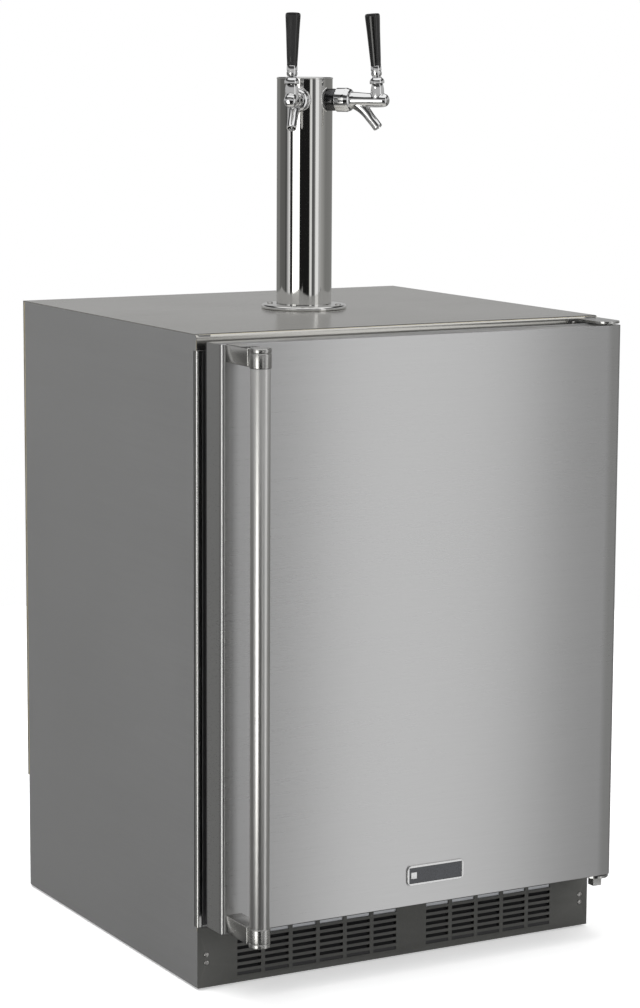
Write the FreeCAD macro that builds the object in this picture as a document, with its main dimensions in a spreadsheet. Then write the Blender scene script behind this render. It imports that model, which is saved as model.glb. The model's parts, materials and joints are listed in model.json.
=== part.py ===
import FreeCAD, Part
import os
import re
import Sketcher

# An under-counter beer dispenser: an insulated steel cabinet with a hinged door,
# a two-tap tower on its roof, a gas bottle inside and the cooling machine in a bay
# under and behind the floor. Millimetres, +Z up, the door faces -Y, x = 0 is the middle.

SIZES = {
    # Cabinet: outer box, sheet steel and insulated walls
    "cab_w": 606, "cab_h": 854, "cab_d": 547, "skin": 1, "flange": 20, "foot_gap": 3, "wall": 45,
    "roof": 45, "back_wall": 47, "liner": 2, "lip": 25, "tower_hole_r": 30, "floor_z": 112,
    "hump_z": 190, "hump_d": 88, "hump_foam": 24, "bay_z": 78, "skirt": 20, "rail_low": 18,
    "pan_z": 16, "pan_t": 1.2,
    # Toe grille: eleven columns of slots, with the place of a twelfth left plain
    "grille_h": 81, "grille_t": 1.5, "slot_w": 35.3, "slot_h": 4.6, "slot_step": 8.7,
    "slot_pitch": 41, "slot_low": 12, "slot_in": 57.6, "slot_rows": 8, "slot_columns": 11,
    "gap_column": 6, "screw_in": 12.5, "screw_low": 36, "screw_step": 11, "screw_head_r": 3.5,
    "screw_head": 1.6, "screw_r": 2, "screw_clear": 0.3,
    # Levelling feet
    "foot_r": 18, "foot_t": 10, "foot_edge": 2, "foot_drop": 3, "foot_taper": 6, "foot_in": 43,
    "foot_front": 45, "foot_back": 47, "stem_r": 5, "stem_len": 50, "fit_gap": 0.05, "boss_r": 9,
    "boss_h": 9,
    # Door
    "door_side": 3.25, "door_drop": 7.5, "door_z": 91.3, "door_t": 42, "seal_room": 12,
    "door_round": 5, "door_plate": 10, "plate_in": 3, "field_in": 48, "field_deep": 4,
    "seal_gap": 0.5, "seal_w": 14, "seal_side": 4, "seal_low": 2, "seal_high": 2, "rim_in": 8,
    "rim_t": 1, "rim_gap": 1,
    # Bar handle
    "bar_r": 12.5, "bar_wall": 1.5, "bar_in": 17, "bar_out": 70, "cap_r": 13.75, "cap_h": 25,
    "cap_over": 2, "cap_end": 4, "arm": 23,
    # Badge plate, plain
    "badge_w": 87, "badge_h": 27, "badge_t": 2.5, "badge_x": 16.8, "badge_z": 132, "badge_rim": 3,
    "badge_deep": 1.2, "badge_corner": 6, "badge_mark": 9, "badge_mark_in": 10,
    # Door hinge
    "pin_in": 18, "pin_back": 24, "pin_r": 4, "pin_len": 18, "bush_r": 6, "bush_flange_r": 9,
    "bush_flange": 1.2, "bush_len": 19, "hinge_clear": 0.3, "hinge_over": 0.8, "bracket_t": 3,
    "bracket_r": 18, "lip_top_w": 51, "lip_low_w": 22.5, "lip_low_h": 36, "block": 13,
    "bracket_screw_r": 4, "top_screw_a": 10, "top_screw_b": 38, "low_screw_a": 13,
    "low_screw_b": 27, "low_screw_in": 12,
    # Cooling unit in the cabinet
    "evap_in": 22, "evap_w": 346, "evap_drop": 19, "evap_h": 160, "evap_d": 48, "cover_t": 2,
    "fan_in": 58, "fan_r": 42, "fan_gap": 3, "fan_blade": 8, "fan_hub_r": 13, "motor_r": 12,
    "fan_blades": 4, "fan_back": 2, "vane_t": 2, "vane_wide": 0.7, "vane_root": 0.6,
    "vane_pitch": 24, "fan_set": 14, "vent_w": 150, "vent_h": 5, "vent_step": 14, "vent_rows": 9,
    "fin_t": 0.8, "fin_step": 7, "evap_fins": 28, "evap_tubes": 5, "evap_coil_d": 26,
    "evap_coil_h": 130, "coil_tube_r": 4, "coil_gap": 8, "box_w": 130, "box_d": 120, "box_h": 34,
    "box_y": 30, "knob_r": 16, "knob_t": 14, "knob_gap": 0.5, "knob_shaft_r": 3, "knob_shaft": 10,
    "knob_side": 38, "lamp_w": 60, "lamp_d": 50, "lamp_h": 12, "lamp_x": 120,
    # Gas bottle, valve and regulator
    "gas_r": 55.5, "gas_h": 350, "gas_edge": 6, "gas_round_h": 60, "gas_round_in": 12,
    "gas_slope_h": 26, "gas_top_h": 10, "gas_top_out": 12, "gas_in": 68, "gas_y": 432, "shelf_t": 3,
    "shelf_w": 122, "shelf_d": 128, "shelf_lip": 20, "strap_t": 2, "strap_h": 20, "strap_z": 200,
    "strap_gap": 0.3, "neck_r": 16, "valve_r": 12, "valve_h": 46, "port_r": 9, "port_len": 20,
    "port_z": 22, "wheel_r": 20, "wheel_t": 11, "spindle_r": 4, "spindle": 16, "wheel_gap": 1.5,
    "wheel_grips": 6, "wheel_grip_r": 4, "shaft_room": 2, "over": 1, "reg_side": 60, "reg_r": 27,
    "reg_t": 34, "bonnet_r": 20, "bonnet": 20, "inlet_r": 13, "barb_r": 4, "barb": 22,
    "gauge_r": 24, "gauge_t": 20, "gauge_stem": 8, "gauge_stem_r": 5, "dial_knob_r": 15,
    "dial_knob": 26, "dial_gap": 1, "dial_shaft_r": 3, "dial_shaft": 12,
    # Machine bay
    "comp_x": 125, "comp_w": 168, "comp_d": 98, "comp_h": 132, "comp_z": 25, "comp_feet": 65,
    "grommet_in": 2, "comp_back": 56, "comp_round": 40, "grommet_r": 9, "cond_x": -230,
    "cond_w": 206, "cond_d": 38, "cond_h": 140, "cond_in": 5, "cond_fins": 26, "cond_tubes": 6,
    "shroud_d": 18, "shroud_hole": 64, "blower_r": 60, "blower_blades": 5, "blower_t": 12,
    "blower_hub_r": 20, "blower_motor_r": 22, "blower_motor": 34, "arm_w": 12, "arm_t": 2,
    "pan_w": 240, "pan_d": 170, "pan_h": 24, "pan_y": 240, "line_r": 3.5, "gland_x": 240,
    "gland_z": 60, "gland_r": 9, "gland_bore": 3.6, "gland_out": 2, "gland_in": 12, "gland_neck": 7,
    "rear_vent_w": 120, "rear_vent_rows": 8, "rear_vent_columns": 3, "rear_vent_low": 45,
    "rear_vent_x": -185,
    # Tower
    "tower_r": 38.1, "tower_wall": 1.5, "tower_h": 316, "base_over": 20.9, "base_t": 5.5,
    "base_round": 1.5, "spigot_h": 16, "lid_t": 3, "lid_over": 0.5, "lid_plug": 10, "lid_round": 1,
    "bolts": 4, "bolt_start": 45, "bolt_out": 10.9, "bolt_head_r": 4, "bolt_head": 1.8,
    "tube_ring": 18, "tube_r": 4, "tube_bore": 2.4, "tube_drop": 40,
    # Faucets, turned 38 degrees to each side of straight ahead
    "tap_h": 285.5, "tap_turn": 38, "shank_r": 8, "shank_bore": 3, "shank_in": 14, "collar_r": 15,
    "collar_out": 9.9, "shank_tail": 10, "nut_r": 16.5, "nut_len": 22, "nut_slope": 5,
    "nut_edge": 2, "nut_lip": 1, "barrel_neck": 4, "nose_round": 2, "barrel_r": 11,
    "barrel_tip_r": 10, "barrel_len": 61.5, "nose_r": 9, "nose_len": 75.5, "lever_out": 59,
    "boss_top": 12.5, "tap_boss_r": 11, "pivot_h": 17, "dome_r": 9.5, "bore_r": 6.3,
    "bore_len": 69.5, "spout_r": 6.75, "spout_bore": 5, "spout_out": 31, "spout_angle": 51.3,
    "spout_len": 47.4, "ball_r": 5.5, "ball_gap": 0.3, "pivot_pin_r": 1.5, "pivot_pin": 17,
    "stem_slot": 8, "arm_r": 2, "tip_r": 2.5, "arm_len": 19, "tip_len": 4, "neck": 3.5, "cup_r": 10,
    "cup_low": 5, "cup_high": 13.5, "ferrule_r": 7.25, "ferrule_top": 28.9, "stud_r": 4, "stud": 12,
    "grip_low_r": 7, "grip_r": 10.25, "grip_top": 99.1, "grip_round": 3, "lean": 4.9,
    "valve_rod_r": 6, "valve_rod_back": 50, "valve_rod_front": 68.5, "notch_back": 3.5,
    "notch_front": 6.2, "notch_low": 3.5, "swing": 35,
}

doc = FreeCAD.newDocument("Kegerator")
sheet = doc.addObject("Spreadsheet::Sheet", "Sizes")
for row, (word, number) in enumerate(SIZES.items(), 1):
    sheet.set(f"A{row}", word)
    sheet.set(f"B{row}", str(number))
    sheet.setAlias(f"B{row}", word)
doc.recompute()

ALIAS = re.compile(r"\b(" + "|".join(SIZES) + r")\b")
NODES = []


# Expressions: sizes are written in the sheet's words and bound to properties.

def linked(text):
    return ALIAS.sub(r"Sizes.\1", str(text))


def value(text):
    return float(sheet.evalExpression(linked(text)))


def bind(thing, path, text):
    thing.setExpression(path, linked(text))


def place(thing, x="0", y="0", z="0"):
    for letter, text in zip("xyz", (x, y, z)):
        bind(thing, f"Placement.Base.{letter}", text)
    return thing


# Solids: blocks and round bars between bound positions, and the ways to join them.

TURNS = {"x": FreeCAD.Rotation(FreeCAD.Vector(0, 1, 0), 90),
         "y": FreeCAD.Rotation(FreeCAD.Vector(1, 0, 0), -90),
         "z": FreeCAD.Rotation()}


def block(name, x, y, z):
    thing = doc.addObject("Part::Box", name)
    for side, (low, high) in zip(("Length", "Width", "Height"), (x, y, z)):
        bind(thing, side, f"({high}) - ({low})")
    return place(thing, x[0], y[0], z[0])


def bar(name, axis, start, radius, length):
    thing = doc.addObject("Part::Cylinder", name)
    thing.Placement = FreeCAD.Placement(FreeCAD.Vector(), TURNS[axis])
    bind(thing, "Radius", radius)
    bind(thing, "Height", length)
    return place(thing, *start)


def ball(name, centre, radius):
    thing = doc.addObject("Part::Sphere", name)
    bind(thing, "Radius", radius)
    return place(thing, *centre)


def fused(name, *parts):
    thing = doc.addObject("Part::MultiFuse", name)
    thing.Shapes = list(parts)
    thing.Refine = True
    return thing


def cut(name, base, *tools):
    thing = doc.addObject("Part::Cut", name)
    thing.Base = base
    thing.Tool = tools[0] if len(tools) == 1 else fused(f"{name}_tools", *tools)
    thing.Refine = True
    return thing


def grouped(name, *parts):
    thing = doc.addObject("Part::Compound", name)
    thing.Links = list(parts)
    return thing


# Bodies: a closed outline whose corners are bound to the sheet, then raised or turned.

def body_named(name):
    return doc.addObject("PartDesign::Body", name)


def drawing_on(body, plane, name):
    drawing = body.newObject("Sketcher::SketchObject", name)
    side = [feature for feature in body.Origin.OriginFeatures if feature.Role == plane][0]
    drawing.AttachmentSupport = [(side, "")]
    drawing.MapMode = "FlatFace"
    return drawing


def pin_point(drawing, line, corner):
    for axis, text, other in (("X", corner[0], -2), ("Y", corner[1], -1)):
        if str(text) == "0":
            drawing.addConstraint(Sketcher.Constraint("PointOnObject", line, 1, other))
            continue
        rule = Sketcher.Constraint(f"Distance{axis}", -1, 1, line, 1, value(text))
        bind(drawing, f"Constraints[{drawing.addConstraint(rule)}]", text)


def outline(drawing, corners):
    first = drawing.GeometryCount
    spots = [FreeCAD.Vector(value(u), value(v), 0) for u, v in corners]
    count = len(spots)
    for index, spot in enumerate(spots):
        drawing.addGeometry(Part.LineSegment(spot, spots[(index + 1) % count]), False)
    for index in range(count):
        after = first + (index + 1) % count
        drawing.addConstraint(Sketcher.Constraint("Coincident", first + index, 2, after, 1))
    for index, corner in enumerate(corners):
        pin_point(drawing, first + index, corner)


def rectangle(drawing, u, v):
    outline(drawing, [(u[0], v[0]), (u[1], v[0]), (u[1], v[1]), (u[0], v[1])])


def circle(drawing, u, v, radius):
    centre = FreeCAD.Vector(value(u), value(v), 0)
    line = drawing.addGeometry(Part.Circle(centre, FreeCAD.Vector(0, 0, 1), value(radius)), False)
    for axis, text in (("X", u), ("Y", v)):
        rule = Sketcher.Constraint(f"Distance{axis}", -1, 1, line, 3, value(text))
        bind(drawing, f"Constraints[{drawing.addConstraint(rule)}]", text)
    rule = Sketcher.Constraint("Radius", line, value(radius))
    bind(drawing, f"Constraints[{drawing.addConstraint(rule)}]", radius)


def raised(body, drawing, length, both=False, back=False):
    feature = body.newObject("PartDesign::Pad", f"{drawing.Name}_pad")
    feature.Profile = drawing
    feature.Midplane = both
    feature.Reversed = back
    bind(feature, "Length", length)
    return feature


def pocketed(body, drawing, length, both=False, back=False):
    feature = body.newObject("PartDesign::Pocket", f"{drawing.Name}_pocket")
    feature.Profile = drawing
    feature.Midplane = both
    feature.Reversed = back
    bind(feature, "Length", length)
    return feature


def turned(name, corners, axis="V_Axis"):
    body = body_named(name)
    drawing = drawing_on(body, "XZ_Plane", f"{name}_outline")
    outline(drawing, corners)
    feature = body.newObject("PartDesign::Revolution", f"{name}_turn")
    feature.Profile = drawing
    feature.ReferenceAxis = (drawing, [axis])
    feature.Angle = 360
    return body


def folded(name, plane, corners, length):
    body = body_named(name)
    drawing = drawing_on(body, plane, f"{name}_outline")
    outline(drawing, corners)
    raised(body, drawing, length, both=plane == "YZ_Plane")
    return body


POINT = 0.01


def rounded(body, feature, radius, chosen):
    # Rounds the chosen edges; an extent under POINT counts as none.
    doc.recompute()
    names = [f"Edge{number}" for number, edge in enumerate(feature.Shape.Edges, 1) if chosen(edge)]
    smooth = body.newObject("PartDesign::Fillet", f"{feature.Name}_round")
    smooth.Base = (feature, names)
    bind(smooth, "Radius", radius)
    return smooth


def finished(thing, label):
    thing.Label = label
    NODES.append(thing)
    return thing


# Places: the cabinet's front plane is set so that the whole object is centred on y = 0.

DOOR_AHEAD = "(door_t + door_plate + seal_room)"
FRONT = f"(({DOOR_AHEAD} + bar_out + cap_r - cab_d) / 2)"
BACK = f"({FRONT} + cab_d)"
SIDE = "(cab_w / 2)"
CEILING = "(cab_h - roof)"
INNER_X = "(cab_w / 2 - wall)"
INNER_BACK = "(cab_d - back_wall)"
HUMP_Y = "(cab_d - back_wall - hump_d)"
BAY_Y = "(cab_d - back_wall - hump_d + liner + hump_foam)"
BAY_HIGH = "(hump_z - hump_foam)"
DOOR_TOP = "(cab_h - door_drop)"
DOOR_SIDE = "(cab_w / 2 - door_side)"
BRACKET_LOW = "(door_z - bush_flange - hinge_clear - bracket_t)"


def deep(text):
    # A place along y, measured backwards from the cabinet's front plane.
    return f"({FRONT} + {text})"


# Side panels: coated sheet folded inwards at the front and at the back.

def side_panel(name, side):
    edge = f"{side} * cab_w / 2"
    inner = f"{side} * (cab_w / 2 - skin)"
    fold = f"{side} * (cab_w / 2 - flange)"
    corners = [(edge, deep("0")), (fold, deep("0")), (fold, deep("skin")),
               (inner, deep("skin")), (inner, deep("cab_d - 2 * skin")),
               (fold, deep("cab_d - 2 * skin")), (fold, deep("cab_d - skin")),
               (edge, deep("cab_d - skin"))]
    panel = folded(name, "XY_Plane", corners, "cab_h - skin - foot_gap")
    return place(panel, z="foot_gap")


side_panels = finished(grouped("side_panels_pair", side_panel("left_panel", -1),
                               side_panel("right_panel", 1)), "side_panels")

# Top panel: a flat sheet with a skirt turned down over the front.
top = body_named("top_sheet")
top_outline = drawing_on(top, "YZ_Plane", "top_outline")
outline(top_outline, [(deep("-skin"), "cab_h - skirt"), (deep("0"), "cab_h - skirt"),
                      (deep("0"), "cab_h - skin"), (BACK, "cab_h - skin"), (BACK, "cab_h"),
                      (deep("-skin"), "cab_h")])
raised(top, top_outline, "cab_w", both=True)
tower_hole = bar("tower_hole", "z", ("0", deep("cab_d / 2"), CEILING), "tower_hole_r", "roof")
finished(cut("top_cut", top, tower_hole), "top_panel")

# Rear panel above, and a louvred service cover over the machine bay.
finished(block("rear_sheet", (f"-{SIDE}", SIDE), (deep("cab_d - skin"), BACK),
               (BAY_HIGH, "cab_h - skin")), "rear_panel")
vents = []
for column in range(int(SIZES["rear_vent_columns"])):
    for row in range(int(SIZES["rear_vent_rows"])):
        x_low = f"rear_vent_x + {column} * (rear_vent_w + vent_step)"
        z_low = f"rear_vent_low + {row} * vent_step"
        vents.append(block(f"rear_vent_{column}_{row}", (x_low, f"{x_low} + rear_vent_w"),
                           (deep("cab_d - 4 * skin"), BACK), (z_low, f"{z_low} + vent_h")))
cover_sheet = block("rear_cover_sheet", (f"-{SIDE} + skin", f"{SIDE} - skin"),
                    (deep("cab_d - 3 * skin"), deep("cab_d - 2 * skin")),
                    ("foot_gap", f"{BAY_HIGH} - skin"))
gland_hole = bar("gland_hole", "y", ("gland_x", deep("cab_d - 4 * skin"), "gland_z"),
                 "gland_neck", "4 * skin")
finished(cut("rear_cover_cut", cover_sheet, gland_hole, *vents), "rear_cover")

# Cord gland: a rubber bush in the service cover, where the supply lead comes out.
gland = fused("gland_outer",
              bar("gland_flange", "y", ("gland_x", deep("cab_d - 2 * skin"), "gland_z"),
                  "gland_r", "gland_out"),
              bar("gland_sleeve", "y", ("gland_x", deep("cab_d - 2 * skin - gland_in"), "gland_z"),
                  "gland_neck", "gland_in"))
finished(cut("gland_cut", gland,
             bar("gland_bore_cut", "y", ("gland_x", deep("cab_d - 2 * skin - gland_in"),
                 "gland_z"), "gland_bore", "gland_in + gland_out")), "cord_gland")

# Base pan: a tray turned upside down, with a threaded boss for each levelling foot.
PAN_TOP = "(pan_z + pan_t)"
pan = body_named("base_tray")
pan_outline = drawing_on(pan, "YZ_Plane", "base_outline")
outline(pan_outline, [(deep("skin"), "foot_gap"), (deep("skin + pan_t"), "foot_gap"),
                      (deep("skin + pan_t"), "pan_z"),
                      (deep("cab_d - 3 * skin - pan_t"), "pan_z"),
                      (deep("cab_d - 3 * skin - pan_t"), "foot_gap"),
                      (deep("cab_d - 3 * skin"), "foot_gap"),
                      (deep("cab_d - 3 * skin"), PAN_TOP), (deep("skin"), PAN_TOP)])
raised(pan, pan_outline, "cab_w - 2 * skin", both=True)

FEET = {"front_left_foot": ("-(cab_w / 2 - foot_in)", deep("foot_front")),
        "front_right_foot": ("cab_w / 2 - foot_in", deep("foot_front")),
        "rear_left_foot": ("-(cab_w / 2 - foot_in)", deep("cab_d - foot_back")),
        "rear_right_foot": ("cab_w / 2 - foot_in", deep("cab_d - foot_back"))}
bosses = [bar(f"{name}_boss", "z", (x, y, PAN_TOP), "boss_r", "boss_h")
          for name, (x, y) in FEET.items()]
threads = [bar(f"{name}_thread", "z", (x, y, "0"), "stem_r + fit_gap", "pan_z + pan_t + boss_h")
           for name, (x, y) in FEET.items()]
finished(cut("base_pan_cut", fused("base_pan_solid", pan, *bosses), *threads), "base_pan")

for name, (x, y) in FEET.items():
    foot = turned(f"{name}_turned", [("0", "0"), ("foot_r - foot_edge", "0"), ("foot_r", "foot_edge"),
                                     ("foot_r", "foot_t - foot_drop"), ("foot_r - foot_taper", "foot_t"),
                                     ("stem_r", "foot_t"), ("stem_r", "foot_t + stem_len"),
                                     ("0", "foot_t + stem_len")])
    finished(place(foot, x, y, "0"), name)

# Bay ceiling: sheet between the machine bay and the foam, its front edge the lower rail.
finished(folded("bay_sheet", "YZ_Plane",
                [(deep("0"), "bay_z - rail_low"), (deep("skin"), "bay_z - rail_low"),
                 (deep("skin"), "bay_z"), (deep(BAY_Y), "bay_z"), (deep(BAY_Y), f"{BAY_HIGH} - skin"),
                 (deep("cab_d - 3 * skin"), f"{BAY_HIGH} - skin"), (deep("cab_d - 3 * skin"), BAY_HIGH),
                 (deep(f"{BAY_Y} - skin"), BAY_HIGH), (deep(f"{BAY_Y} - skin"), "bay_z + skin"),
                 (deep("skin"), "bay_z + skin"), (deep("skin"), "floor_z - lip"),
                 (deep("0"), "floor_z - lip")], "cab_w - 2 * flange"), "bay_ceiling")

# Toe grille: a flat sheet with rows of slots, held by two screws at each end.
grille = body_named("grille_sheet")
place(grille, y=deep("0"))
grille_outline = drawing_on(grille, "XZ_Plane", "grille_outline")
rectangle(grille_outline, (f"-{SIDE}", SIDE), ("foot_gap", "foot_gap + grille_h"))
raised(grille, grille_outline, "grille_t")
holes = drawing_on(grille, "XZ_Plane", "grille_holes")
SCREW_X = "(cab_w / 2 - screw_in)"
SCREWS = [(side, step) for side in (-1, 1) for step in (0, 1)]
for side, step in SCREWS:
    circle(holes, f"{side} * {SCREW_X}", f"screw_low + {step} * screw_step", "screw_r + screw_clear")
pocketed(grille, holes, "2 * grille_t", back=True)
slots = drawing_on(grille, "XZ_Plane", "grille_slots")
for column in range(int(SIZES["slot_columns"]) + 1):
    if column != SIZES["gap_column"]:
        left = f"-cab_w / 2 + slot_in + {column} * slot_pitch"
        rectangle(slots, (left, f"{left} + slot_w"), ("slot_low", "slot_low + slot_h"))
slot_row = pocketed(grille, slots, "2 * grille_t", back=True)
doc.recompute()
rows = grille.newObject("PartDesign::LinearPattern", "grille_rows")
rows.Originals = [slot_row]
rows.Direction = (slots, ["V_Axis"])
rows.Occurrences = int(SIZES["slot_rows"])
bind(rows, "Length", "slot_step * (slot_rows - 1)")
grille.Tip = rows
finished(grille, "toe_grille")


def screw(name, axis, x, y, z, head_r, head, length):
    # A pan-head screw whose head stands in front of the face at y (or above z).
    if axis == "y":
        cap = bar(f"{name}_head", "y", (x, f"{y} - {head}", z), head_r, head)
        shaft = bar(f"{name}_shaft", "y", (x, y, z), "screw_r", length)
    else:
        cap = bar(f"{name}_head", "z", (x, y, z), head_r, head)
        shaft = bar(f"{name}_shaft", "z", (x, y, f"{z} - {length}"), "screw_r", length)
    return fused(name, cap, shaft)


grille_screws = [screw(f"grille_screw_{side}_{step}".replace("-", "m"), "y", f"{side} * {SCREW_X}",
                       deep("-grille_t"), f"screw_low + {step} * screw_step", "screw_head_r",
                       "screw_head", "grille_t") for side, step in SCREWS]
finished(grouped("grille_screw_set", *grille_screws), "grille_screws")

# Cabinet liner: one moulded tub with a raised step at the back and a lip round the front.
LINER_OUT = [(deep("0"), "floor_z - liner"), (deep(f"{HUMP_Y} + liner"), "floor_z - liner"),
             (deep(f"{HUMP_Y} + liner"), "hump_z - liner"),
             (deep(f"{INNER_BACK} + liner"), "hump_z - liner"),
             (deep(f"{INNER_BACK} + liner"), f"{CEILING} + liner"),
             (deep("0"), f"{CEILING} + liner")]
LINER_IN = [(deep("-liner"), "floor_z"), (deep(HUMP_Y), "floor_z"), (deep(HUMP_Y), "hump_z"),
            (deep(INNER_BACK), "hump_z"), (deep(INNER_BACK), CEILING), (deep("-liner"), CEILING)]
tub = body_named("liner_tub")
tub_outer = drawing_on(tub, "YZ_Plane", "liner_outer")
outline(tub_outer, LINER_OUT)
raised(tub, tub_outer, f"2 * ({INNER_X} + liner)", both=True)
tub_lip = drawing_on(tub, "YZ_Plane", "liner_lip")
rectangle(tub_lip, (deep("0"), deep("liner")), ("floor_z - lip", f"{CEILING} + lip"))
raised(tub, tub_lip, "cab_w - 2 * flange", both=True)
tub_inner = drawing_on(tub, "YZ_Plane", "liner_inner")
outline(tub_inner, LINER_IN)
pocketed(tub, tub_inner, f"2 * {INNER_X}", both=True)
finished(cut("liner_cut", tub, tower_hole), "cabinet_liner")

# Rim strips: black cover strips over the joint between each side panel's fold and the liner.
def rim_strip(name, side, low):
    edges = sorted([f"{side} * ({INNER_X} + seal_side + seal_w + rim_gap)",
                    f"{side} * ({SIDE} - rim_in)"], key=value)
    return block(name, edges, (deep("-rim_t"), deep("0")), (low, f"{CEILING} + lip - rim_gap"))


finished(grouped("rim_pair", rim_strip("left_rim", -1, "floor_z - lip"),
                 rim_strip("right_rim", 1, f"{BRACKET_LOW} + lip_low_h + rim_gap")), "rim_strips")

# Foam between the sheet steel and the liner.
foam = body_named("foam_block")
foam_outer = drawing_on(foam, "YZ_Plane", "foam_outer")
outline(foam_outer, [(deep("liner"), "bay_z + skin"), (deep(f"{BAY_Y} - skin"), "bay_z + skin"),
                     (deep(f"{BAY_Y} - skin"), BAY_HIGH), (deep("cab_d - 2 * skin"), BAY_HIGH),
                     (deep("cab_d - 2 * skin"), "cab_h - skin"), (deep("liner"), "cab_h - skin")])
raised(foam, foam_outer, "cab_w - 2 * skin", both=True)
foam_room = drawing_on(foam, "YZ_Plane", "foam_room")
outline(foam_room, LINER_OUT)
pocketed(foam, foam_room, f"2 * ({INNER_X} + liner)", both=True)
finished(cut("foam_cut", foam, tower_hole), "foam_insulation")

# Door skin: brushed sheet wrapped round all four sides, its upright front edges rounded.

def upright_edge(near_y):
    def chosen(edge):
        box = edge.BoundBox
        upright = box.ZLength > value("door_t") and box.YLength < POINT
        return upright and abs(box.YMin - value(near_y)) < POINT
    return chosen


def door_shell(name, width, low, high, front, back, radius):
    body = body_named(name)
    drawing = drawing_on(body, "XY_Plane", f"{name}_plan")
    rectangle(drawing, (f"-({width}) / 2", f"({width}) / 2"), (deep(front), deep(back)))
    height = raised(body, drawing, f"({high}) - ({low})")
    place(body, z=low)
    rounded(body, height, radius, upright_edge(deep(front)))
    return body


DOOR_FRONT = f"-{DOOR_AHEAD}"
DOOR_REAR = f"-{DOOR_AHEAD} + door_t"
PIN_X = f"({SIDE} - pin_in)"
PIN_Y = deep(f"{DOOR_REAR} - pin_back")
outer_shell = door_shell("door_outer", f"2 * {DOOR_SIDE}", "door_z", DOOR_TOP, DOOR_FRONT, DOOR_REAR,
                         "door_round")
inner_shell = door_shell("door_inner", f"2 * {DOOR_SIDE} - 2 * skin", "door_z + skin", f"{DOOR_TOP} - skin",
                         f"{DOOR_FRONT} + skin", DOOR_REAR, "door_round - skin")
bush_holes = bar("bush_holes", "z", (PIN_X, PIN_Y, "0"), "bush_r", "cab_h + roof")
finished(cut("door_skin_cut", outer_shell, fused("door_hollow", inner_shell, bush_holes)),
         "door_skin")
core_holes = grouped("core_holes",
                     bar("core_hole_low", "z", (PIN_X, PIN_Y, "door_z"), "bush_r", "bush_len"),
                     bar("core_hole_top", "z", (PIN_X, PIN_Y, f"{DOOR_TOP} - bush_len"),
                         "bush_r", "bush_len"))
finished(cut("door_foam_cut", inner_shell, core_holes), "door_foam")

# Door plate: the black inner moulding, with a shallow field pressed into it.
plate = body_named("door_back")
place(plate, y=deep("-seal_room"))
plate_outline = drawing_on(plate, "XZ_Plane", "plate_outline")
rectangle(plate_outline, (f"-({DOOR_SIDE} - plate_in)", f"{DOOR_SIDE} - plate_in"),
          ("door_z + plate_in", f"{DOOR_TOP} - plate_in"))
raised(plate, plate_outline, "door_plate")
plate_field = drawing_on(plate, "XZ_Plane", "plate_field")
rectangle(plate_field, (f"-({DOOR_SIDE} - field_in)", f"{DOOR_SIDE} - field_in"),
          ("door_z + field_in", f"{DOOR_TOP} - field_in"))
pocketed(plate, plate_field, "field_deep", back=True)
finished(plate, "door_liner")

# Door gasket: a magnetic rubber ring on the plate, just clear of the cabinet lip.
seal = body_named("seal_ring")
place(seal, y=deep("-seal_gap"))
seal_outline = drawing_on(seal, "XZ_Plane", "seal_outline")
rectangle(seal_outline, (f"-({INNER_X} + seal_side + seal_w)", f"{INNER_X} + seal_side + seal_w"),
          ("floor_z - seal_low - seal_w", f"{CEILING} + seal_high + seal_w"))
rectangle(seal_outline, (f"-({INNER_X} + seal_side)", f"{INNER_X} + seal_side"),
          ("floor_z - seal_low", f"{CEILING} + seal_high"))
raised(seal, seal_outline, "seal_room - seal_gap")
finished(seal, "door_gasket")

# Bar handle: a tube held at both ends in a capped socket on a square arm.
BAR_X = f"(-{DOOR_SIDE} + bar_in)"
BAR_Y = deep(f"{DOOR_FRONT} - bar_out")
CAP_LOW = "(door_z + cap_over)"
CAP_HIGH = f"({DOOR_TOP} + cap_over)"
tube = cut("handle_tube",
           bar("handle_outer", "z", (BAR_X, BAR_Y, f"{CAP_LOW} + cap_end"), "bar_r",
               f"{CAP_HIGH} - {CAP_LOW} - 2 * cap_end"),
           bar("handle_inner", "z", (BAR_X, BAR_Y, f"{CAP_LOW} + cap_end"), "bar_r - bar_wall",
               f"{CAP_HIGH} - {CAP_LOW} - 2 * cap_end"))
finished(tube, "handle_bar")


def handle_end(name, low, socket_low):
    cap = bar(f"{name}_cap", "z", (BAR_X, BAR_Y, low), "cap_r", "cap_h")
    reach = block(f"{name}_arm", (f"{BAR_X} - arm / 2", f"{BAR_X} + arm / 2"),
                  (BAR_Y, deep(DOOR_FRONT)),
                  (f"{low} + (cap_h - arm) / 2", f"{low} + (cap_h + arm) / 2"))
    socket = bar(f"{name}_socket", "z", (BAR_X, BAR_Y, socket_low), "bar_r", "cap_h - cap_end")
    return cut(name, fused(f"{name}_solid", cap, reach), socket)


finished(grouped("handle_end_pair",
                 handle_end("lower_end", CAP_LOW, f"{CAP_LOW} + cap_end"),
                 handle_end("upper_end", f"{CAP_HIGH} - cap_h", f"{CAP_HIGH} - cap_h")),
         "handle_brackets")

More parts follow.
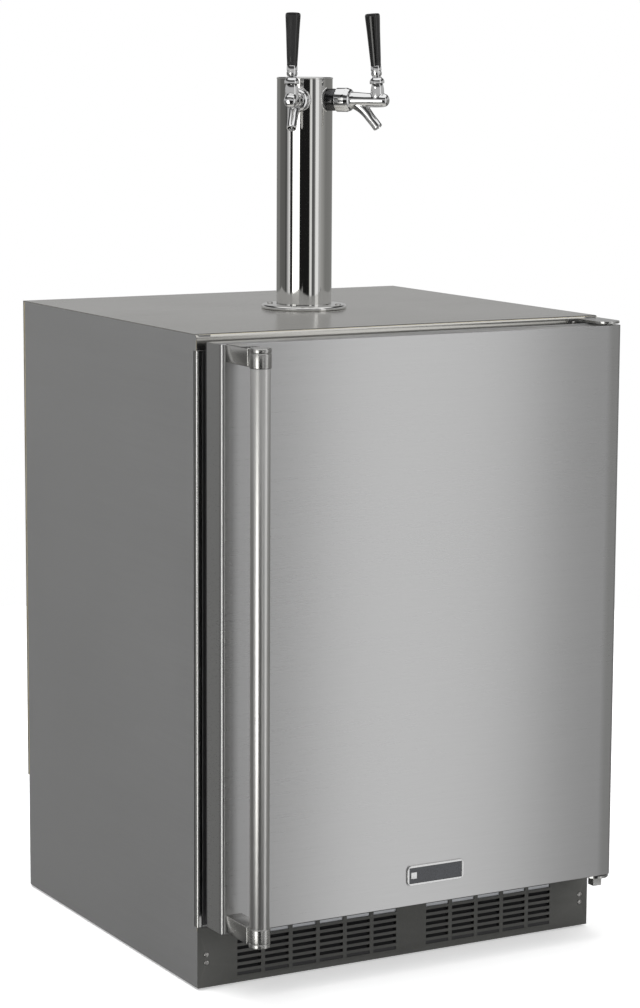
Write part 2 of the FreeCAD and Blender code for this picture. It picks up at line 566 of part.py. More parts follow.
# Badge plate: a plain framed plate with a small blank square at its left.
badge = body_named("badge_body")
place(badge, "badge_x", deep(DOOR_FRONT), "badge_z")
badge_outline = drawing_on(badge, "XZ_Plane", "badge_outline")
rectangle(badge_outline, ("-badge_w / 2", "badge_w / 2"), ("-badge_h / 2", "badge_h / 2"))
badge_pad = raised(badge, badge_outline, "badge_t")
rounded(badge, badge_pad, "badge_corner", lambda edge: edge.BoundBox.XLength < POINT
        and edge.BoundBox.ZLength < POINT)
badge_field = drawing_on(badge, "XZ_Plane", "badge_field")
rectangle(badge_field, ("-badge_w / 2 + badge_rim", "badge_w / 2 - badge_rim"),
          ("-badge_h / 2 + badge_rim", "badge_h / 2 - badge_rim"))
bind(badge_field, "AttachmentOffset.Base.z", "badge_t - badge_deep")
pocketed(badge, badge_field, "badge_t", back=True)
badge_mark = drawing_on(badge, "XZ_Plane", "badge_mark_outline")
rectangle(badge_mark, ("-badge_w / 2 + badge_mark_in - badge_mark / 2",
                       "-badge_w / 2 + badge_mark_in + badge_mark / 2"),
          ("-badge_mark / 2", "badge_mark / 2"))
raised(badge, badge_mark, "badge_t")
finished(badge, "badge_plate")

# Hinge brackets: plates over and under the door with a pin, and a lip screwed to the front.
BRACKET_HIGH = f"({DOOR_TOP} + bush_flange + hinge_over)"


def bracket_plate(name, low, back):
    wing = block(f"{name}_wing", (f"{PIN_X} - bracket_r", f"{PIN_X} + bracket_r"), (PIN_Y, back),
                 (low, f"{low} + bracket_t"))
    nose = bar(f"{name}_nose", "z", (PIN_X, PIN_Y, low), "bracket_r", "bracket_t")
    return [wing, nose]


TOP_LIP = (deep("-skin - bracket_t"), deep("-skin"))
LOW_LIP = (deep("-bracket_t"), deep("0"))
top_screws = [(f"{SIDE} - lip_top_w + top_screw_a", f"{BRACKET_HIGH} - bracket_screw_r - hinge_clear"),
              (f"{SIDE} - lip_top_w + top_screw_b", f"{BRACKET_HIGH} - bracket_screw_r - hinge_clear")]
low_screws = [(f"{SIDE} - low_screw_in", f"{BRACKET_LOW} + low_screw_a"),
              (f"{SIDE} - low_screw_in", f"{BRACKET_LOW} + low_screw_b")]
upper = fused("upper_bracket_solid", *bracket_plate("upper_bracket", BRACKET_HIGH, TOP_LIP[1]),
              block("upper_lip", (f"{SIDE} - lip_top_w", SIDE), TOP_LIP,
                    ("cab_h - skirt", f"{BRACKET_HIGH} + bracket_t")),
              bar("upper_pin", "z", (PIN_X, PIN_Y, f"{BRACKET_HIGH} - pin_len"), "pin_r", "pin_len"))
lower = fused("lower_bracket_solid", *bracket_plate("lower_bracket", BRACKET_LOW, LOW_LIP[1]),
              block("lower_lip", (f"{SIDE} - lip_low_w", SIDE), LOW_LIP,
                    (BRACKET_LOW, f"{BRACKET_LOW} + lip_low_h")),
              block("lower_block", (f"{PIN_X} - block / 2", f"{PIN_X} + block / 2"),
                    (f"{PIN_Y} - block / 2", f"{PIN_Y} + block / 2"),
                    (f"{BRACKET_LOW} - block", BRACKET_LOW)),
              bar("lower_pin", "z", (PIN_X, PIN_Y, f"{BRACKET_LOW} + bracket_t"), "pin_r", "pin_len"))


def drilled(name, solid, spots, near):
    drills = [bar(f"{name}_drill_{index}", "y", (x, near, z), "screw_r + screw_clear", "3 * bracket_t")
              for index, (x, z) in enumerate(spots)]
    return cut(name, solid, *drills)


finished(grouped("hinge_bracket_pair",
                 drilled("upper_bracket_cut", upper, top_screws, deep("-2 * bracket_t")),
                 drilled("lower_bracket_cut", lower, low_screws, deep("-2 * bracket_t"))),
         "hinge_brackets")
hinge_screws = [screw(f"top_hinge_screw_{index}", "y", x, TOP_LIP[0], z, "bracket_screw_r",
                      "screw_head", "bracket_t")
                for index, (x, z) in enumerate(top_screws)]
hinge_screws += [screw(f"low_hinge_screw_{index}", "y", x, LOW_LIP[0], z, "bracket_screw_r",
                       "screw_head", "bracket_t")
                 for index, (x, z) in enumerate(low_screws)]
finished(grouped("hinge_screw_set", *hinge_screws), "hinge_screws")

# Hinge bushings: flanged plastic sleeves pressed into the door, turning on the pins.


def bushing(name, corners, low):
    return place(turned(name, corners), PIN_X, PIN_Y, low)


BUSH_BORE = "pin_r + fit_gap"
low_bush = bushing("low_bush", [(BUSH_BORE, "-bush_flange"), ("bush_flange_r", "-bush_flange"),
                                ("bush_flange_r", "0"), ("bush_r", "0"), ("bush_r", "bush_len"),
                                (BUSH_BORE, "bush_len")], "door_z")
top_bush = bushing("top_bush", [(BUSH_BORE, "-bush_len"), ("bush_r", "-bush_len"),
                                ("bush_r", "0"), ("bush_flange_r", "0"),
                                ("bush_flange_r", "bush_flange"), (BUSH_BORE, "bush_flange")],
                   DOOR_TOP)
finished(grouped("bushing_pair", low_bush, top_bush), "hinge_bushings")


# Finned coils: thin fins on straight tubes, used for the cold coil and for the hot one.

def finned_coil(name, x, y, z, depth, height, count, tubes):
    fins = [block(f"{name}_fin_{index}", (f"{x} + {index} * fin_step", f"{x} + {index} * fin_step + fin_t"),
                  (y, f"{y} + {depth}"), (z, f"{z} + {height}")) for index in range(count)]
    span = f"{count - 1} * fin_step + fin_t + 2 * coil_gap"
    pipes = [bar(f"{name}_pipe_{index}", "x", (f"{x} - coil_gap", f"{y} + {depth} / 2",
                 f"{z} + {height} * {index + 0.5} / {tubes}"), "coil_tube_r", span)
             for index in range(tubes)]
    return fused(name, *fins, *pipes)


def fan(name, x, y, z, hub_r, tip_r, width, blades, shaft_r, shaft):
    # A hub with pitched blades, turning about y, and a short shaft into its motor.
    hub = bar(f"{name}_hub", "y", ("0", "0", "0"), hub_r, width)
    axle = bar(f"{name}_axle", "y", ("0", width, "0"), shaft_r, shaft)
    vanes = []
    for index in range(blades):
        vane = block(f"{name}_vane_{index}", (f"-{hub_r} * vane_wide", f"{hub_r} * vane_wide"),
                     ("0", "vane_t"), (f"{hub_r} * vane_root", tip_r))
        tilt = FreeCAD.Rotation(FreeCAD.Vector(0, 0, 1), SIZES["vane_pitch"])
        turn = FreeCAD.Rotation(FreeCAD.Vector(0, 1, 0), 360 / blades * index)
        carrier = grouped(f"{name}_vane_{index}_set", vane)
        bind(carrier, "Placement.Base.y", f"({width} - vane_t) / 2")
        carrier.Placement.Rotation = turn * tilt
        vanes.append(carrier)
    return place(fused(name, hub, axle, *vanes), x, y, z)


# Cold side: coil behind a vented cover on the upper back wall, with its fan and motor.
EVAP_X = f"(evap_in - {INNER_X})"
FAN_X = f"({EVAP_X} + evap_w - fan_in)"
EVAP_Z = f"({CEILING} - evap_drop - evap_h)"
FAN_Z = f"({EVAP_Z} + evap_h / 2)"
COVER_Y = f"({INNER_BACK} - evap_d)"
finished(finned_coil("cold_coil", f"{EVAP_X} + cover_t + 2 * coil_gap",
                     deep(f"{INNER_BACK} - evap_coil_d - cover_t"),
                     f"{EVAP_Z} + (evap_h - evap_coil_h) / 2", "evap_coil_d", "evap_coil_h",
                     int(SIZES["evap_fins"]), int(SIZES["evap_tubes"])), "evaporator_coil")
cover_box = block("cover_box", (EVAP_X, f"{EVAP_X} + evap_w"), (deep(COVER_Y), deep(INNER_BACK)),
                  (EVAP_Z, f"{EVAP_Z} + evap_h"))
cover_room = block("cover_room", (f"{EVAP_X} + cover_t", f"{EVAP_X} + evap_w - cover_t"),
                   (deep(f"{COVER_Y} + cover_t"), deep(f"{INNER_BACK} + over")),
                   (f"{EVAP_Z} + cover_t", f"{EVAP_Z} + evap_h - cover_t"))
cover_mouth = bar("cover_mouth", "y", (FAN_X, deep(f"{COVER_Y} - over"), FAN_Z), "fan_r + fan_gap",
                  "cover_t + 2 * over")
cover_vents = [block(f"cover_vent_{row}", (f"{EVAP_X} + fan_set * 2", f"{EVAP_X} + fan_set * 2 + vent_w"),
                     (deep(f"{COVER_Y} - over"), deep(f"{COVER_Y} + cover_t + over")),
                     (f"{EVAP_Z} + fan_set + {row} * vent_step",
                      f"{EVAP_Z} + fan_set + {row} * vent_step + vent_h"))
               for row in range(int(SIZES["vent_rows"]))]
finished(cut("cover_cut", cover_box, cover_room, cover_mouth, *cover_vents), "evaporator_cover")
EVAP_FAN_Y = f"({COVER_Y} + cover_t + skin)"
finished(fan("cold_fan", FAN_X, deep(EVAP_FAN_Y), FAN_Z, "fan_hub_r", "fan_r", "fan_blade",
             int(SIZES["fan_blades"]), "knob_shaft_r", "fan_set"), "evaporator_fan")


def motor(name, x, y, z, radius, length, reach, wide):
    # A can motor bored for the fan's shaft, on a cross arm whose ends meet the fan's frame.
    can = bar(f"{name}_can", "y", (x, y, z), radius, length)
    arm = block(f"{name}_arm", (f"{x} - {reach}", f"{x} + {reach}"), (y, f"{y} + arm_t"),
                (f"{z} - {wide} / 2", f"{z} + {wide} / 2"))
    hole = bar(f"{name}_bore", "y", (x, y, z), "knob_shaft_r + fit_gap", length)
    return cut(name, fused(f"{name}_solid", can, arm), hole)


SHROUD_Y = f"({BAY_Y} + cond_in + cond_d)"
BLOWER_X = "(cond_x + cond_w / 2)"
BLOWER_Z = f"({PAN_TOP} + cond_h / 2)"
blower_y = f"{SHROUD_Y} + (shroud_d - blower_t) / 2"
finished(grouped("motor_pair",
                 motor("cold_motor", FAN_X, deep(f"{EVAP_FAN_Y} + fan_blade + fan_back"), FAN_Z, "motor_r",
                       f"{INNER_BACK} - {EVAP_FAN_Y} - fan_blade - fan_back", "fan_in - cover_t", "arm_w"),
                 motor("blower_motor_solid", BLOWER_X, deep(f"{SHROUD_Y} + shroud_d"), BLOWER_Z,
                       "blower_motor_r", "blower_motor", "cond_w / 2", "arm_w")), "fan_motors")

# Control box under the ceiling, its thermostat knob, and the lamp beside it.
control = block("control_case", ("-box_w / 2", "box_w / 2"), (deep("box_y"), deep("box_y + box_d")),
                (f"{CEILING} - box_h", CEILING))
KNOB_Z = f"({CEILING} - box_h / 2)"
knob_bore = bar("knob_bore", "y", ("knob_side", deep("box_y"), KNOB_Z), "knob_shaft_r + fit_gap",
                "knob_shaft + shaft_room")
finished(cut("control_cut", control, knob_bore), "control_box")
knob = fused("knob_solid",
             bar("knob_cap", "y", ("knob_side", deep("box_y - knob_gap - knob_t"), KNOB_Z), "knob_r",
                 "knob_t"),
             bar("knob_axle", "y", ("knob_side", deep("box_y - knob_gap"), KNOB_Z), "knob_shaft_r",
                 "knob_gap + knob_shaft"),
             block("knob_ridge", ("knob_side - skin", "knob_side + skin"),
                   (deep("box_y - knob_gap - knob_t - skin"), deep("box_y - knob_gap - skin")),
                   (KNOB_Z, f"{KNOB_Z} + knob_r")))
finished(knob, "thermostat_knob")
finished(block("lamp_lens", ("lamp_x - lamp_w / 2", "lamp_x + lamp_w / 2"),
               (deep("box_y"), deep("box_y + lamp_d")), (f"{CEILING} - lamp_h", CEILING)),
         "interior_lamp")

# Gas bottle on a shelf over the step, held by a strap, with its valve and regulator.
GAS_X = f"({INNER_X} - gas_in)"
REG_X = f"({GAS_X} - reg_side)"
GAS_Y = deep("gas_y")
SHELF_TOP = "(hump_z + shelf_t)"
shelf = block("gas_shelf", (f"{GAS_X} - shelf_w / 2", f"{GAS_X} + shelf_w / 2"),
              (deep(f"{INNER_BACK} - shelf_d"), deep(INNER_BACK)), ("hump_z", SHELF_TOP))
shelf_edge = block("gas_shelf_edge", (f"{GAS_X} - shelf_w / 2", f"{GAS_X} + shelf_w / 2"),
                   (deep(f"{INNER_BACK} - shelf_d"), deep(f"{INNER_BACK} - shelf_d + shelf_t")),
                   ("hump_z", f"{SHELF_TOP} + shelf_lip"))
strap_low = f"{SHELF_TOP} + strap_z"
strap_pad = block("strap_pad", (f"{GAS_X} - gas_r / 2", f"{GAS_X} + gas_r / 2"), (GAS_Y, deep(INNER_BACK)),
                  (strap_low, f"{strap_low} + strap_h"))
strap_ring = bar("strap_ring", "z", (GAS_X, GAS_Y, strap_low), "gas_r + strap_gap + strap_t",
                 "strap_h")
strap_bore = bar("strap_bore", "z", (GAS_X, GAS_Y, strap_low), "gas_r + strap_gap", "strap_h")
finished(grouped("gas_bracket", fused("gas_tray", shelf, shelf_edge),
                 cut("gas_strap", fused("strap_solid", strap_ring, strap_pad), strap_bore)),
         "co2_bracket")
bottle = turned("gas_bottle", [("0", "0"), ("gas_r - gas_edge", "0"), ("gas_r", "gas_edge"),
                               ("gas_r", "gas_h - gas_round_h"),
                               ("gas_r - gas_round_in", "gas_h - gas_slope_h"),
                               ("neck_r + gas_top_out", "gas_h - gas_top_h"),
                               ("neck_r", "gas_h"), ("0", "gas_h")])
finished(place(bottle, GAS_X, GAS_Y, SHELF_TOP), "co2_cylinder")
VALVE_Z = f"({SHELF_TOP} + gas_h)"
PORT_Z = f"({VALVE_Z} + port_z)"
valve = fused("gas_valve", bar("valve_post", "z", (GAS_X, GAS_Y, VALVE_Z), "valve_r", "valve_h"),
              bar("valve_port", "x", (f"{GAS_X} - port_len", GAS_Y, PORT_Z), "port_r", "port_len"))
valve_bore = bar("valve_bore", "z", (GAS_X, GAS_Y, f"{VALVE_Z} + valve_h - spindle - shaft_room"),
                 "spindle_r + fit_gap", "spindle + shaft_room")
finished(cut("gas_valve_cut", valve, valve_bore), "co2_valve")
WHEEL_Z = f"({VALVE_Z} + valve_h + wheel_gap)"
grips = [bar(f"wheel_grip_{index}", "z",
             (f"{GAS_X} + wheel_r * cos({index} * 360 / wheel_grips)",
              f"{GAS_Y} + wheel_r * sin({index} * 360 / wheel_grips)", f"{WHEEL_Z} - over"),
             "wheel_grip_r", "wheel_t + 2 * over") for index in range(int(SIZES["wheel_grips"]))]
wheel = cut("gas_wheel", bar("wheel_disc", "z", (GAS_X, GAS_Y, WHEEL_Z), "wheel_r", "wheel_t"), *grips)
finished(fused("gas_wheel_solid", wheel,
               bar("wheel_spindle", "z", (GAS_X, GAS_Y, f"{WHEEL_Z} - wheel_gap - spindle"),
                   "spindle_r", "spindle + wheel_gap")), "co2_handwheel")
REG_FRONT = f"({GAS_Y} - reg_t / 2)"
regulator = fused("regulator_solid",
                  bar("regulator_case", "y", (REG_X, REG_FRONT, PORT_Z), "reg_r", "reg_t"),
                  bar("regulator_bonnet", "y", (REG_X, f"{REG_FRONT} - bonnet", PORT_Z), "bonnet_r",
                      "bonnet"),
                  bar("regulator_inlet", "x", (REG_X, GAS_Y, PORT_Z), "inlet_r",
                      f"{GAS_X} - port_len - {REG_X}"),
                  bar("regulator_barb", "z", (REG_X, GAS_Y, f"{PORT_Z} - reg_r - barb"), "barb_r",
                      "barb + reg_r / 2"))
finished(cut("regulator_cut", regulator,
             bar("regulator_bore", "y", (REG_X, f"{REG_FRONT} - bonnet", PORT_Z),
                 "dial_shaft_r + fit_gap", "dial_shaft + shaft_room")), "regulator_body")
dial_back = f"{REG_FRONT} - bonnet - dial_gap"
finished(fused("regulator_dial",
               bar("dial_cap", "y", (REG_X, f"{dial_back} - dial_knob", PORT_Z), "dial_knob_r",
                   "dial_knob"),
               bar("dial_axle", "y", (REG_X, dial_back, PORT_Z), "dial_shaft_r",
                   "dial_gap + dial_shaft")), "regulator_knob")


def gauge(name, axis, step):
    # A round pressure gauge facing forwards on a short stem from the regulator's side.
    x_far = f"{REG_X} - {step} * (reg_r + gauge_stem + gauge_r)"
    z_far = f"{PORT_Z} + {1 - step} * (reg_r + gauge_stem + gauge_r)"
    case = bar(f"{name}_case", "y", (x_far, f"{GAS_Y} - gauge_t / 2", z_far), "gauge_r", "gauge_t")
    low_x = f"{REG_X} - reg_r - gauge_stem - gauge_r" if axis == "x" else REG_X
    low_z = PORT_Z if axis == "x" else f"{PORT_Z} + reg_r"
    stem = bar(f"{name}_stem", axis, (low_x, GAS_Y, low_z), "gauge_stem_r", "gauge_stem + gauge_r")
    return fused(name, case, stem)


gauges = [gauge("side_gauge", "x", 1), gauge("upper_gauge", "z", 0)]
gauge_case = bar("gauge_clear", "y", (REG_X, REG_FRONT, PORT_Z), "reg_r", "reg_t")
finished(grouped("gauge_pair", *[cut(f"{item.Name}_cut", item, gauge_case) for item in gauges]),
         "regulator_gauges")

# Machine bay: compressor on rubber feet, hot coil with its shroud and blower, drain pan.
COMP_Y = deep("cab_d - comp_back")
shell = block("comp_shell", ("comp_x - comp_w / 2 + comp_round", "comp_x + comp_w / 2 - comp_round"),
              (f"{COMP_Y} - comp_d / 2", f"{COMP_Y} + comp_d / 2"), ("comp_z", "comp_z + comp_h"))
ends = [bar(f"comp_end_{side}", "z", (f"comp_x + {2 * side - 1} * (comp_w / 2 - comp_d / 2)", COMP_Y,
            "comp_z"), "comp_d / 2", "comp_h") for side in (0, 1)]
foot_bar = block("comp_foot_bar", ("comp_x - comp_w / 2", "comp_x + comp_w / 2"),
                 (f"{COMP_Y} - comp_feet / 2", f"{COMP_Y} + comp_feet / 2"), ("comp_z - shelf_t", "comp_z"))
grommets = [bar(f"grommet_{side}_{row}", "z", (f"comp_x + {side} * (comp_w / 2 - grommet_r - grommet_in)",
                f"{COMP_Y} + {row} * (comp_feet / 2 - grommet_r - grommet_in)", PAN_TOP), "grommet_r",
                f"comp_z - shelf_t - {PAN_TOP}")
            for side in (-1, 1) for row in (-1, 1)]
finished(grouped("compressor_set", fused("compressor_solid", shell, *ends, foot_bar), *grommets),
         "compressor")
finished(finned_coil("hot_coil", "cond_x + coil_gap", deep(f"{BAY_Y} + cond_in"), PAN_TOP, "cond_d",
                     "cond_h", int(SIZES["cond_fins"]), int(SIZES["cond_tubes"])), "condenser_coil")
shroud_box = block("shroud_box", ("cond_x", "cond_x + cond_w"),
                   (deep(SHROUD_Y), deep(f"{SHROUD_Y} + shroud_d")), (PAN_TOP, f"{PAN_TOP} + cond_h"))
shroud_mouth = bar("shroud_mouth", "y", (BLOWER_X, deep(SHROUD_Y), BLOWER_Z), "shroud_hole", "shroud_d")
finished(cut("shroud_cut", shroud_box, shroud_mouth), "condenser_shroud")
finished(fan("hot_fan", BLOWER_X, deep(blower_y), BLOWER_Z, "blower_hub_r", "blower_r", "blower_t",
             int(SIZES["blower_blades"]), "knob_shaft_r", "blower_motor / 2"), "condenser_fan")
tray_box = block("tray_box", ("-pan_w / 2", "pan_w / 2"), (deep("pan_y"), deep("pan_y + pan_d")),
                 (PAN_TOP, f"{PAN_TOP} + pan_h"))
tray_room = block("tray_room", ("-pan_w / 2 + cover_t", "pan_w / 2 - cover_t"),
                  (deep("pan_y + cover_t"), deep("pan_y + pan_d - cover_t")),
                  (f"{PAN_TOP} + cover_t", f"{PAN_TOP} + pan_h + over"))
finished(cut("tray_cut", tray_box, tray_room), "drain_pan")


def pipe(name, points, axes, radius):
    # A run of straight tubes between points, with a rounded joint at each corner.
    runs = []
    for index, axis in enumerate(axes):
        start, end = points[index], points[index + 1]
        near = start if value(start["xyz".index(axis)]) < value(end["xyz".index(axis)]) else end
        far = end if near is start else start
        length = f"({far['xyz'.index(axis)]}) - ({near['xyz'.index(axis)]})"
        runs.append(bar(f"{name}_run_{index}", axis, near, radius, length))
        if index:
            runs.append(ball(f"{name}_bend_{index}", start, radius))
    return fused(name, *runs)


LINE_X = "(comp_x - comp_w / 2 - 3 * line_r)"
COIL_END = "(cond_x + cond_w + coil_gap)"
COIL_Y = deep(f"{BAY_Y} + cond_in + cond_d / 2")
LINE_Z = f"{PAN_TOP} + cond_h * (cond_tubes - 0.5) / cond_tubes"
hot_line = pipe("hot_line", [("comp_x - comp_w / 2", COMP_Y, "comp_z + comp_h / 2"),
                             (LINE_X, COMP_Y, "comp_z + comp_h / 2"), (LINE_X, COMP_Y, LINE_Z),
                             (LINE_X, COIL_Y, LINE_Z), (COIL_END, COIL_Y, LINE_Z)], "xzyx", "line_r")
finished(hot_line, "refrigerant_line")

# Tower: a flanged base screwed to the roof, a polished column and a slim lid.
TOWER_Y = deep("cab_d / 2")
BASE_R = "(tower_r + base_over)"
flange = turned("tower_base", [("tower_hole_r", "0"), (BASE_R, "0"), (BASE_R, "base_t - base_round"),
                               (f"{BASE_R} - base_round", "base_t"), ("tower_r - tower_wall", "base_t"),
                               ("tower_r - tower_wall", "base_t + spigot_h"),
                               ("tower_hole_r", "base_t + spigot_h")])
place(flange, "0", TOWER_Y, "cab_h")
BOLT_RING = "(tower_r + bolt_out)"
bolts = [(f"{BOLT_RING} * cos(bolt_start + {index} * 360 / bolts)",
          f"{TOWER_Y} + {BOLT_RING} * sin(bolt_start + {index} * 360 / bolts)")
         for index in range(int(SIZES["bolts"]))]
bolt_holes = [bar(f"bolt_hole_{index}", "z", (x, y, "cab_h"), "screw_r + screw_clear", "base_t")
              for index, (x, y) in enumerate(bolts)]
finished(cut("tower_base_cut", flange, *bolt_holes), "tower_flange")
tower_screws = [screw(f"tower_screw_{index}", "z", x, y, "cab_h + base_t", "bolt_head_r", "bolt_head",
                      "base_t") for index, (x, y) in enumerate(bolts)]
finished(grouped("tower_screw_set", *tower_screws), "tower_screws")


# Reaches along a faucet, from the tower's axis: all follow the collar's outer face.
COLLAR_END = "(tower_r + collar_out)"
SHANK_END = f"({COLLAR_END} + shank_tail)"
NUT_END = f"({COLLAR_END} + nut_len)"
BARREL_END = f"({COLLAR_END} + barrel_len)"
NOSE_END = f"({COLLAR_END} + nose_len)"
LEVER_AT = f"({COLLAR_END} + lever_out)"


def local(thing, side):
    # Pieces of a faucet are made along x from the tower's axis, then turned to their side.
    thing.Placement = FreeCAD.Placement(FreeCAD.Vector(), FreeCAD.Rotation(FreeCAD.Vector(0, 0, 1), 1))
    bind(thing, "Placement.Rotation.Angle", f"-90 + {side} * tap_turn")
    return place(thing, "0", TOWER_Y, "cab_h + tap_h")


SIDES = {"left": -1, "right": 1}
column_outer = bar("column_outer", "z", ("0", TOWER_Y, "cab_h + base_t"), "tower_r",
                   "tower_h - base_t - lid_t")
column_inner = bar("column_inner", "z", ("0", TOWER_Y, "cab_h + base_t"), "tower_r - tower_wall",
                   "tower_h - base_t - lid_t")
column_holes = [local(grouped(f"column_hole_{name}", bar(f"column_drill_{name}", "x", ("0", "0", "0"),
                      "shank_r + fit_gap", "2 * tower_r")), side) for name, side in SIDES.items()]
finished(cut("column_cut", column_outer, column_inner, *column_holes), "tower_column")
lid = turned("tower_lid", [("0", "-lid_plug"), ("tower_r - tower_wall", "-lid_plug"),
                           ("tower_r - tower_wall", "0"), ("tower_r + lid_over", "0"),
                           ("tower_r + lid_over", "lid_t - lid_round"),
                           ("tower_r + lid_over - lid_round", "lid_t"),
                           ("0", "lid_t")])
finished(place(lid, "0", TOWER_Y, "cab_h + tower_h - lid_t"), "tower_cap")


def shank(name, side):
    # Threaded shank through the column with a saddle-shaped collar against it.
    stem = bar(f"{name}_stem", "x", ("shank_in", "0", "0"), "shank_r", f"{SHANK_END} - shank_in")
    collar = cut(f"{name}_collar", bar(f"{name}_ring", "x", ("tower_r / 2", "0", "0"), "collar_r",
                 f"{COLLAR_END} - tower_r / 2"),
                 bar(f"{name}_saddle", "z", ("0", "0", "-2 * collar_r"), "tower_r", "4 * collar_r"))
    drill = bar(f"{name}_bore", "x", ("tube_ring", "0", "0"), "shank_bore", f"{SHANK_END} - tube_ring")
    return local(cut(name, fused(f"{name}_solid", stem, collar), drill), side)


finished(grouped("shank_pair", *[shank(f"{name}_shank", side) for name, side in SIDES.items()]),
         "faucet_shanks")


def coupling(name, side):
    return local(turned(name, [(COLLAR_END, "shank_r"), (COLLAR_END, "nut_r"),
                               (f"{NUT_END} - nut_slope", "nut_r"),
                               (f"{NUT_END} - nut_edge", "nut_r - nut_edge"),
                               (NUT_END, "barrel_r + nut_lip"), (NUT_END, "shank_r")], "H_Axis"), side)


finished(grouped("coupling_pair", *[coupling(f"{name}_coupling", side) for name, side in SIDES.items()]),
         "coupling_nuts")


def beer_tube(name, side):
    turn = f"(-90 + {side} * tap_turn)"
    spot = (f"tube_ring * cos({turn})", f"{TOWER_Y} + tube_ring * sin({turn})", f"{CEILING} - tube_drop")
    length = f"cab_h + tap_h - shank_r - {CEILING} + tube_drop"
    return cut(name, bar(f"{name}_outer", "z", spot, "tube_r", length),
               bar(f"{name}_inner", "z", spot, "tube_bore", length))


finished(grouped("tube_pair", *[beer_tube(f"{name}_tube", side) for name, side in SIDES.items()]),
         "tower_beer_lines")


def lever_slot(name):
    # The wedge that the lever's lower arm sweeps, widening downwards from its pivot.
    body = body_named(name)
    drawing = drawing_on(body, "XZ_Plane", f"{name}_outline")
    outline(drawing, [(f"{LEVER_AT} - tip_r - skin", "pivot_h"),
                      (f"{LEVER_AT} - pivot_h * tan(swing) - tip_r - skin", "0"),
                      (f"{LEVER_AT} + pivot_h * tan(2 * lean) + tip_r + skin", "0"),
                      (f"{LEVER_AT} + tip_r + skin", "pivot_h")])
    raised(body, drawing, "2 * tip_r + 4 * ball_gap", both=True)
    return body


def stem_slot(name):
    # The slot in the dome that the lever's neck swings through.
    body = body_named(name)
    drawing = drawing_on(body, "XZ_Plane", f"{name}_outline")
    reach = "(2 * cup_r)"
    outline(drawing, [(f"{LEVER_AT} - stem_slot / 2 - skin", "pivot_h"),
                      (f"{LEVER_AT} - {reach} * tan(2 * lean) - stem_slot / 2", f"pivot_h + {reach}"),
                      (f"{LEVER_AT} + {reach} * tan(swing) + stem_slot / 2", f"pivot_h + {reach}"),
                      (f"{LEVER_AT} + stem_slot / 2 + skin", "pivot_h")])
    raised(body, drawing, "stem_slot", both=True)
    return body


def faucet(name, side):
    barrel = turned(f"{name}_barrel", [(SHANK_END, "0"), (SHANK_END, "shank_r"),
                                       (NUT_END, "shank_r"), (NUT_END, "barrel_r"),
                                       (f"{NUT_END} + barrel_neck", "barrel_r"), (BARREL_END, "barrel_tip_r"),
                                       (BARREL_END, "nose_r"), (f"{NOSE_END} - nose_round", "nose_r"),
                                       (NOSE_END, "nose_r - nose_round"), (NOSE_END, "0")], "H_Axis")
    post = bar(f"{name}_post", "z", (LEVER_AT, "0", "0"), "tap_boss_r", "boss_top")
    dome = ball(f"{name}_dome", (LEVER_AT, "0", "pivot_h"), "dome_r")
    socket = ball(f"{name}_ball_room", (LEVER_AT, "0", "pivot_h"), "ball_r + ball_gap")
    spout = bar(f"{name}_spout", "z", ("0", "0", "0"), "spout_r", "spout_len")
    spout_hole = bar(f"{name}_spout_hole", "z", ("0", "0", "0"), "spout_bore", "spout_len")
    for item in (spout, spout_hole):
        item.Placement = FreeCAD.Placement(FreeCAD.Vector(), FreeCAD.Rotation(FreeCAD.Vector(0, 1, 0), 1))
        bind(item, "Placement.Rotation.Angle", "90 + spout_angle")
        place(item, f"{COLLAR_END} + spout_out")
    bore = bar(f"{name}_bore", "x", (NUT_END, "0", "0"), "bore_r", f"{COLLAR_END} + bore_len - {NUT_END}")
    inlet = bar(f"{name}_inlet", "x", (SHANK_END, "0", "0"), "shank_bore", f"{NUT_END} - {SHANK_END}")
    pin_hole = bar(f"{name}_pin_hole", "y", (LEVER_AT, "-tap_boss_r", "pivot_h"), "pivot_pin_r + fit_gap",
                   "2 * tap_boss_r")
    solid = fused(f"{name}_solid", barrel, post, dome, spout)
    return local(cut(name, solid, bore, inlet, spout_hole, socket, pin_hole,
                     lever_slot(f"{name}_arm_slot"), stem_slot(f"{name}_neck_slot")), side)


finished(grouped("faucet_pair", *[faucet(f"{name}_faucet", side) for name, side in SIDES.items()]),
         "faucet_bodies")


def leaning(thing, side):
    # A lever's pieces are made upright on the pivot, lean back a little, and turn to their side.
    tilt = grouped(f"{thing.Name}_tilt", thing)
    tilt.Placement = FreeCAD.Placement(FreeCAD.Vector(), FreeCAD.Rotation(FreeCAD.Vector(0, -1, 0), 1))
    bind(tilt, "Placement.Rotation.Angle", "lean")
    place(tilt, LEVER_AT, "0", "pivot_h")
    return local(grouped(f"{thing.Name}_turn", tilt), side)


